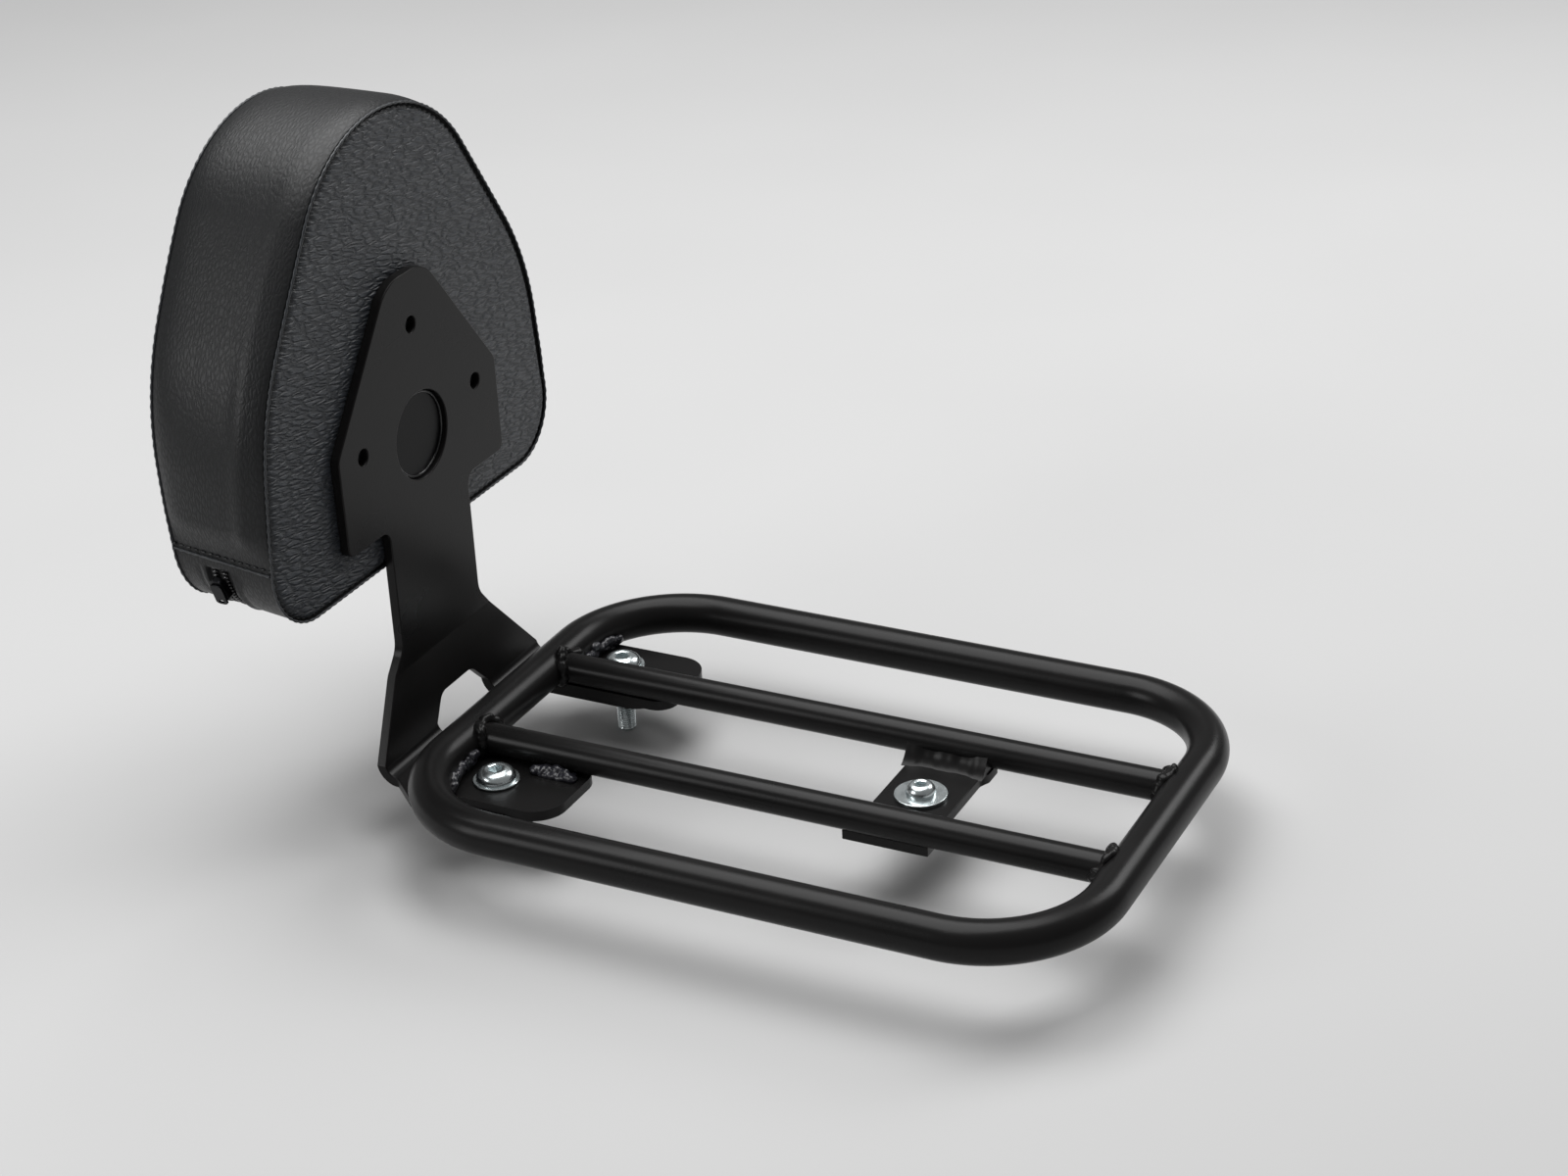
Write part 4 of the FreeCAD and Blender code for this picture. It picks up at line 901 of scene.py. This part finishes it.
def stuffed(rings):
    """How far pressure moves each point of the rings, in mm."""
    path = np.concatenate(([0], np.cumsum(np.linalg.norm(np.diff(rings, axis=0), axis=2).mean(1))))
    picked = [0]
    for r in range(1, len(rings)):
        clear = min(abs(path[r] - path[rear_seam]), abs(path[r] - path[front_seam])) > SEAM_CLEAR
        if r in (rear_seam, front_seam) or (path[r] - path[picked[-1]] > NET_PITCH and clear):
            picked.append(r)
    net = rings[picked][:, ::NET_STEP]
    pad = bpy.data.objects.new("cover_net", net_mesh("cover_net", net))
    scene.collection.objects.link(pad)
    held = [len(picked) * net.shape[1]]
    for row, r in enumerate(picked):
        for c in range(net.shape[1]):
            beside = abs(net[row, c, 1] - PAD_BACK - ZIP_AHEAD) < ZIP_HOLD
            by_zip = beside and net[row, c, 2] < PAD_FOOT + ZIP_TOP
            if r <= rear_seam or r == front_seam or by_zip:
                held.append(row * net.shape[1] + c)
    pad.vertex_groups.new(name="sewn").add(held, 1.0, "REPLACE")
    cloth = pad.modifiers.new("stuffing", "CLOTH")
    cloth.settings.quality = 6
    cloth.settings.tension_stiffness = 25
    cloth.settings.compression_stiffness = 25
    cloth.settings.bending_stiffness = 1.5
    cloth.settings.use_pressure = True
    cloth.settings.uniform_pressure_force = 4.0
    cloth.settings.vertex_group_mass = "sewn"
    cloth.settings.effector_weights.gravity = 0.0
    cloth.point_cache.frame_start = 1
    cloth.point_cache.frame_end = CLOTH_FRAMES
    for step in range(1, CLOTH_FRAMES + 1):
        scene.frame_set(step)
    after = pad.evaluated_get(bpy.context.evaluated_depsgraph_get()).data
    moved = np.array([v.co for v in after.vertices])[:-2].reshape(net.shape) / MM - net
    bpy.data.objects.remove(pad)
    scene.frame_set(1)
    freely = np.linalg.norm(moved, axis=2)
    print("net:", net.shape[:2], "moved freely by up to mm:", round(float(freely.max()), 1))
    moved /= 1 + freely[:, :, None] / GIVE
    columns = np.arange(0, AROUND + 1, NET_STEP)
    wrapped = np.concatenate((moved, moved[:, :1]), axis=1)
    spread = np.empty((len(picked), AROUND, 3))
    for row in range(len(picked)):
        for axis in range(3):
            spread[row, :, axis] = np.interp(np.arange(AROUND), columns, wrapped[row, :, axis])
    for _ in range(6):
        spread = (np.roll(spread, 1, 1) + 2 * spread + np.roll(spread, -1, 1)) / 4
    full = np.empty(rings.shape)
    for c in range(AROUND):
        for axis in range(3):
            full[:, c, axis] = np.interp(path, path[picked], spread[:, c, axis])
    return full


give = stuffed(rings)
rings = rings + give
print("cover moved by up to mm:", round(float(np.linalg.norm(give, axis=2).max()), 2))

# %% [markdown]
# ## The cover as one closed skin
# The rings are joined to one closed mesh. Its map is laid flat: across and up on the panels, and
# along and across on the band, so that each panel shows its own grain.

# %% Join the rings
ring_start = np.concatenate(([0], np.cumsum([AROUND // s for s in strides])))
skin_points = [p for ring, s in zip(rings, strides) for p in ring[::s]]
back_middle, front_middle = len(skin_points), len(skin_points) + 1
skin_points += [rings[0].mean(0), rings[-1].mean(0)]
skin_faces, skin_map, skin_finish = [], [], []


def add_face(corners, on_the_band):
    """Keep a face whose corners are (ring, column) pairs or the number of a middle point."""
    face = []
    for corner in corners:
        if isinstance(corner, int):
            face.append(corner)
            skin_map.append((skin_points[corner][0], skin_points[corner][2]))
        else:
            r, c = corner
            face.append(int(ring_start[r] + (c % AROUND) // strides[r]))
            x, y, z = rings[r, c % AROUND]
            skin_map.append((seam_run[c], y) if on_the_band else (x, z))
    skin_faces.append(face)
    skin_finish.append(int(on_the_band))


for r in range(len(rings) - 1):
    widest = max(strides[r], strides[r + 1])
    for c in range(0, AROUND, widest):
        near = [(r, q) for q in range(c, c + widest + 1, strides[r])]
        far = [(r + 1, q) for q in range(c + widest, c - 1, -strides[r + 1])]
        add_face(near + far, rear_seam <= r < front_seam)
last = len(rings) - 1
for c in range(0, AROUND, strides[0]):
    add_face([back_middle, (0, c + strides[0]), (0, c)], False)
    add_face([(last, c), (last, c + strides[last]), front_middle], False)

skin_mesh = bpy.data.meshes.new("pad_cover")
skin_mesh.from_pydata(np.array(skin_points) * MM, [], skin_faces)
skin_mesh.uv_layers.new(name="cloth").data.foreach_set("uv", (np.array(skin_map) * MM).ravel())
skin_mesh.polygons.foreach_set("material_index", skin_finish)
skin_mesh.materials.append(grained)
skin_mesh.materials.append(smooth)
outside_out(skin_mesh)
skin_mesh.shade_smooth()
# The seam attribute paints shade into the seam grooves: full at each seam, fading into the panels, 0.4 on
# the band's first and last rings, none on the rest of the band.
in_panels = [math.exp(-(d / GROOVE_WIDTH) ** 2) for d, _, _ in PANEL_RINGS]
depths = in_panels[::-1] + [1.0, 0.4] + [0.0] * (len(band_steps) - 2) + [0.4, 1.0] + in_panels
seam_shade_per_point = [depth for depth, s in zip(depths, strides) for _ in range(AROUND // s)] + [0.0, 0.0]
skin_mesh.attributes.new("seam_shade_mask", "FLOAT", "POINT").data.foreach_set("value", seam_shade_per_point)
pad_cover = bpy.data.objects.new("pad_cover", skin_mesh)
finished(pad_cover, ["pad_foam", "cover_rear_panel", "cover_front_panel",
                                            "cover_side_band", "zip_band_rear", "zip_band_front"])
print("pad cover:", len(skin_mesh.polygons), "faces, box mm:",
      [round(v / MM) for v in pad_cover.dimensions])

# %% [markdown]
# ## Welts and stitches
# Where a panel meets the band, the two edges are turned in and leave a thin ridge. The thread
# shows as short dark dashes in the groove beside it. Another row of stitches crosses the band on
# each side, at the top of the strips that hold the zip. A welt is the rippled tube; a stitch is a
# small drawn-out ball that lies along its line.

# %% Sew the seams
stitch_tree, given = new_tree("stitches_along_a_line", {
    "Pitch": "Float", "Length": "Float", "Thickness": "Float", "Material": "Material"})
curve = add(stitch_tree, "GeometryNodeMeshToCurve", {"Mesh": given["Line"]})
holes = add(stitch_tree, "GeometryNodeResampleCurve", {"Curve": curve.outputs[0], "Length": given["Pitch"]},
            mode="LENGTH")
way = add(stitch_tree, "GeometryNodeInputTangent").outputs["Tangent"]
lying = add(stitch_tree, "FunctionNodeAlignRotationToVector", {"Vector": way}, axis="X")
dash = add(stitch_tree, "GeometryNodeMeshUVSphere", {"Segments": 8, "Rings": 6, "Radius": 0.5})
drawn = add(stitch_tree, "ShaderNodeCombineXYZ", {"X": given["Length"], "Y": given["Thickness"],
                                                  "Z": given["Thickness"]})
sewn = add(stitch_tree, "GeometryNodeInstanceOnPoints", {
    "Points": holes.outputs[0], "Instance": dash.outputs[0], "Rotation": lying.outputs[0],
    "Scale": drawn.outputs[0]})
close_tree(stitch_tree, sewn.outputs[0], given["Material"])

stitch_pitch = seam_run[-1] / pucker_count * MM
flat_out = np.column_stack((outward[:, 0], np.zeros(AROUND), outward[:, 1]))


def band_crossing(height, right):
    """Points across the band where it has a given height on one side."""
    line = []
    for ring in rings[rear_seam + 2:front_seam - 1]:
        above = ring[:, 2] - PAD_FOOT - height
        for c in np.nonzero(above * np.roll(above, -1) <= 0)[0]:
            if (ring[c, 0] > 0) == right:
                share = above[c] / (above[c] - above[(c + 1) % AROUND])
                spot = ring[c] * (1 - share) + ring[(c + 1) % AROUND] * share
                line.append(spot + flat_out[c] * 0.2)
                break
    return line


stitch_runs = [(on_panel(rear_line, 0.9, 1, -1) + give[rear_seam - 1] + (0, 0.05, 0), True),
               (on_panel(front_line, 0.9, 1, 1) + give[front_seam + 1] - (0, 0.05, 0), True)]
cross_runs = [(band_crossing(ZIP_TOP + 0.3, right), False) for right in (False, True)]
welt_runs = [(rings[rear_seam + 1] + flat_out * 0.1 + (0, -0.3, 0), True),
             (rings[front_seam - 1] + flat_out * 0.1 + (0, 0.3, 0), True)]
welt_runs += [(band_crossing(ZIP_TOP - 1.5, right), False) for right in (False, True)]
welts = grown("seam_welts", tube_tree, welt_runs, Radius=0.48 * MM, Ripple=0.27, Pitch=stitch_pitch,
              Sides=10, Material=turned_edge)
finished(welts)
seam_thread = grown("seam_stitches", stitch_tree, stitch_runs, Pitch=stitch_pitch, Length=2.6 * MM,
                    Thickness=0.55 * MM, Material=thread)
cross_thread = grown("cross_stitches", stitch_tree, cross_runs, Pitch=3.6 * MM, Length=2.5 * MM,
                     Thickness=0.9 * MM, Material=thread)
finished(seam_thread)
finished(cross_thread)
DASH_FACES = 48  # faces of one drawn-out ball
print("welts:", len(welts.data.polygons), "faces; stitches:", len(seam_thread.data.polygons) // DASH_FACES,
      "and", len(cross_thread.data.polygons) // DASH_FACES)

# %% [markdown]
# ## The zip
# The zip runs along the base of the pad and a little way up each side, so that the cover can be
# drawn over the foam. Its tape lies in the slot of the band. The coil is two rows of teeth that
# grip each other by turns, so the second row starts half a pitch later.

# %% Slider and pull
slider_low, slider_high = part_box("zip_slider")
slider_spot = (slider_low + slider_high) / 2
ZIP_TURN = math.radians(20)
SLIDER_STAND_OFF = 1.6
SLIDER_FLATNESS = 0.72
slider_out = Vector((-math.cos(ZIP_TURN), 0, -math.sin(ZIP_TURN)))
slider_along = Vector((math.sin(ZIP_TURN), 0, -math.cos(ZIP_TURN)))
cover_spot = slider_spot - slider_out * SLIDER_STAND_OFF * MM
for node, length in (("zip_slider", 0.8), ("zip_pull", 0.55)):
    smaller = Matrix.Scale(SLIDER_FLATNESS, 4, slider_out) @ Matrix.Scale(length, 4, slider_along)
    shape = Matrix.Translation(cover_spot) @ smaller @ Matrix.Translation(-cover_spot)
    edge_rounded(node, black_oxide, 0.35, shape)
print("slider at mm:", [round(v / MM) for v in slider_spot])

# %% Tape and teeth
TAPE_INSET = 1.4
TOOTH_INSET = 0.8
ROW_OFFSET = 2.4
zip_columns = np.nonzero(rear_line[:, 1] < ZIP_TOP - 3.5)[0]


def zip_line(v, inset):
    """Points along the zip at one distance from the rear seam, below the cover's own level."""
    share = (v / front_level)[:, None]
    flat = rear_line * (1 - share) + front_line * share - outward * inset
    return np.column_stack((flat[:, 0], np.full(AROUND, PAD_BACK + v), flat[:, 1] + PAD_FOOT))[zip_columns]


tape_steps = np.linspace(ZIP_AHEAD - ZIP_HALF - 0.6, ZIP_AHEAD + ZIP_HALF + 0.6, 9)
tape_build = bmesh.new()
tape_rows = [[tape_build.verts.new(Vector(p) * MM) for p in zip_line(v, TAPE_INSET)] for v in tape_steps]
for row, following in zip(tape_rows, tape_rows[1:]):
    for k in range(len(row) - 1):
        tape_build.faces.new((row[k], row[k + 1], following[k + 1], following[k]))
bmesh.ops.recalc_face_normals(tape_build, faces=tape_build.faces)
bmesh.ops.solidify(tape_build, geom=tape_build.faces[:], thickness=0.25 * MM)
tape_mesh = bpy.data.meshes.new("zip_tape_strip")
tape_build.to_mesh(tape_mesh)
tape_build.free()
outside_out(tape_mesh)
tape_mesh.materials.append(tape_weave)
tape_mesh.shade_smooth()
finished(bpy.data.objects.new("zip_tape_strip", tape_mesh), ["zip_tape"])

tooth_tree, given = new_tree("zip_teeth", {"Pitch": "Float", "Width": "Float", "Height": "Float",
                                           "Material": "Material"})
curve = add(tooth_tree, "GeometryNodeMeshToCurve", {"Mesh": given["Line"]})
spots = add(tooth_tree, "GeometryNodeResampleCurve", {"Curve": curve.outputs[0], "Length": given["Pitch"]},
            mode="LENGTH")
way = add(tooth_tree, "GeometryNodeInputTangent").outputs["Tangent"]
lying = add(tooth_tree, "FunctionNodeAlignRotationToVector", {"Vector": way}, axis="X")
level = add(tooth_tree, "FunctionNodeAlignRotationToVector",
            {"Rotation": lying.outputs[0], "Vector": (0.0, 1.0, 0.0)}, axis="Y", pivot_axis="X")
tooth = add(tooth_tree, "GeometryNodeMeshUVSphere", {"Segments": 8, "Rings": 6, "Radius": 0.5})
thin = add(tooth_tree, "ShaderNodeMath", {0: given["Pitch"], 1: 0.78}, operation="MULTIPLY")
tooth_size = add(tooth_tree, "ShaderNodeCombineXYZ", {"X": thin.outputs[0], "Y": given["Width"],
                                                      "Z": given["Height"]})
rowed = add(tooth_tree, "GeometryNodeInstanceOnPoints", {
    "Points": spots.outputs[0], "Instance": tooth.outputs[0], "Rotation": level.outputs[0],
    "Scale": tooth_size.outputs[0]})
close_tree(tooth_tree, rowed.outputs[0], given["Material"])

first_row = zip_line(np.full(AROUND, ZIP_AHEAD - ROW_OFFSET), TOOTH_INSET)
second_row = zip_line(np.full(AROUND, ZIP_AHEAD + ROW_OFFSET), TOOTH_INSET)
second_row[0] += (second_row[1] - second_row[0]) * 0.8
teeth = grown("zip_teeth_rows", tooth_tree, [(first_row, False), (second_row, False)], Pitch=1.6 * MM,
              Width=2.9 * MM, Height=1.5 * MM, Material=nylon)
finished(teeth, ["zip_coil"])
print("zip: tape", len(tape_mesh.polygons), "faces, teeth", len(teeth.data.polygons) // DASH_FACES)

# %% [markdown]
# ## Floor and light
# The floor is plain, pale and matt. One wide soft lamp hangs overhead, as in a studio, a small one
# stands at the front left and another low at the right, a little behind, and the surroundings are
# dim and even. So the black tubes show a long soft light on top and a thin bright line along the
# side, and they stay dark below. The low lamp rakes over the pad's back and brings out its grain.

# %% Floor, lamp and surroundings
floor_matt, tree, place = new_material("pale_matt_floor")
mottle = add(tree, "ShaderNodeTexNoise", {"Vector": place, "Scale": per_mm(180), "Detail": 2.0})
tone = add(tree, "ShaderNodeMix", {0: mottle.outputs["Fac"], 6: linear("#b8b8b8"), 7: linear("#bcbcbc")},
           data_type="RGBA")
shader = add(tree, "ShaderNodeBsdfPrincipled", {
    "Base Color": tone.outputs[2], "Roughness": 0.9, "Specular IOR Level": 0.1})
add(tree, "ShaderNodeOutputMaterial", {"Surface": shader.outputs["BSDF"]})
FLOOR_REACH = 6.0
floor_level = cad_low[2]
floor_mesh = bpy.data.meshes.new("floor")
floor_mesh.from_pydata([(x * FLOOR_REACH, y * FLOOR_REACH, floor_level)
                        for x, y in ((-1, -1), (1, -1), (1, 1), (-1, 1))], [], [(0, 1, 2, 3)])
floor_mesh.materials.append(floor_matt)
floor = bpy.data.objects.new("floor", floor_mesh)
scene.collection.objects.link(floor)


def soft_lamp(name, place, aim, width, power):
    """A square soft lamp at a place, aimed at a point, both in metres."""
    lamp = bpy.data.objects.new(name, bpy.data.lights.new(name, "AREA"))
    lamp.data.shape = "SQUARE"
    lamp.data.size = width
    lamp.data.energy = power
    lamp.location = place
    lamp.rotation_euler = (Vector(aim) - Vector(place)).to_track_quat("-Z", "Y").to_euler()
    scene.collection.objects.link(lamp)


soft_lamp("overhead_lamp", (0.25, 0.3, 1.7), (0.05, 0, 0), 1.7, 44)
soft_lamp("rear_lamp", (1.05, -0.6, 0.9), (0, -0.1, 0.05), 0.6, 6)
soft_lamp("side_lamp", (-1.0, 0.7, 0.6), (0, 0.05, 0.15), 0.5, 4)
surroundings = bpy.data.worlds.new("studio")
surroundings.use_nodes = True
scene.world = surroundings
surroundings.node_tree.nodes.clear()
glow = add(surroundings.node_tree, "ShaderNodeBackground", {"Color": linear("#ffffff"), "Strength": 0.2})
add(surroundings.node_tree, "ShaderNodeOutputWorld", {"Surface": glow.outputs[0]})
scene.view_settings.view_transform = "Standard"
print("floor at mm:", round(floor_level / MM, 1))
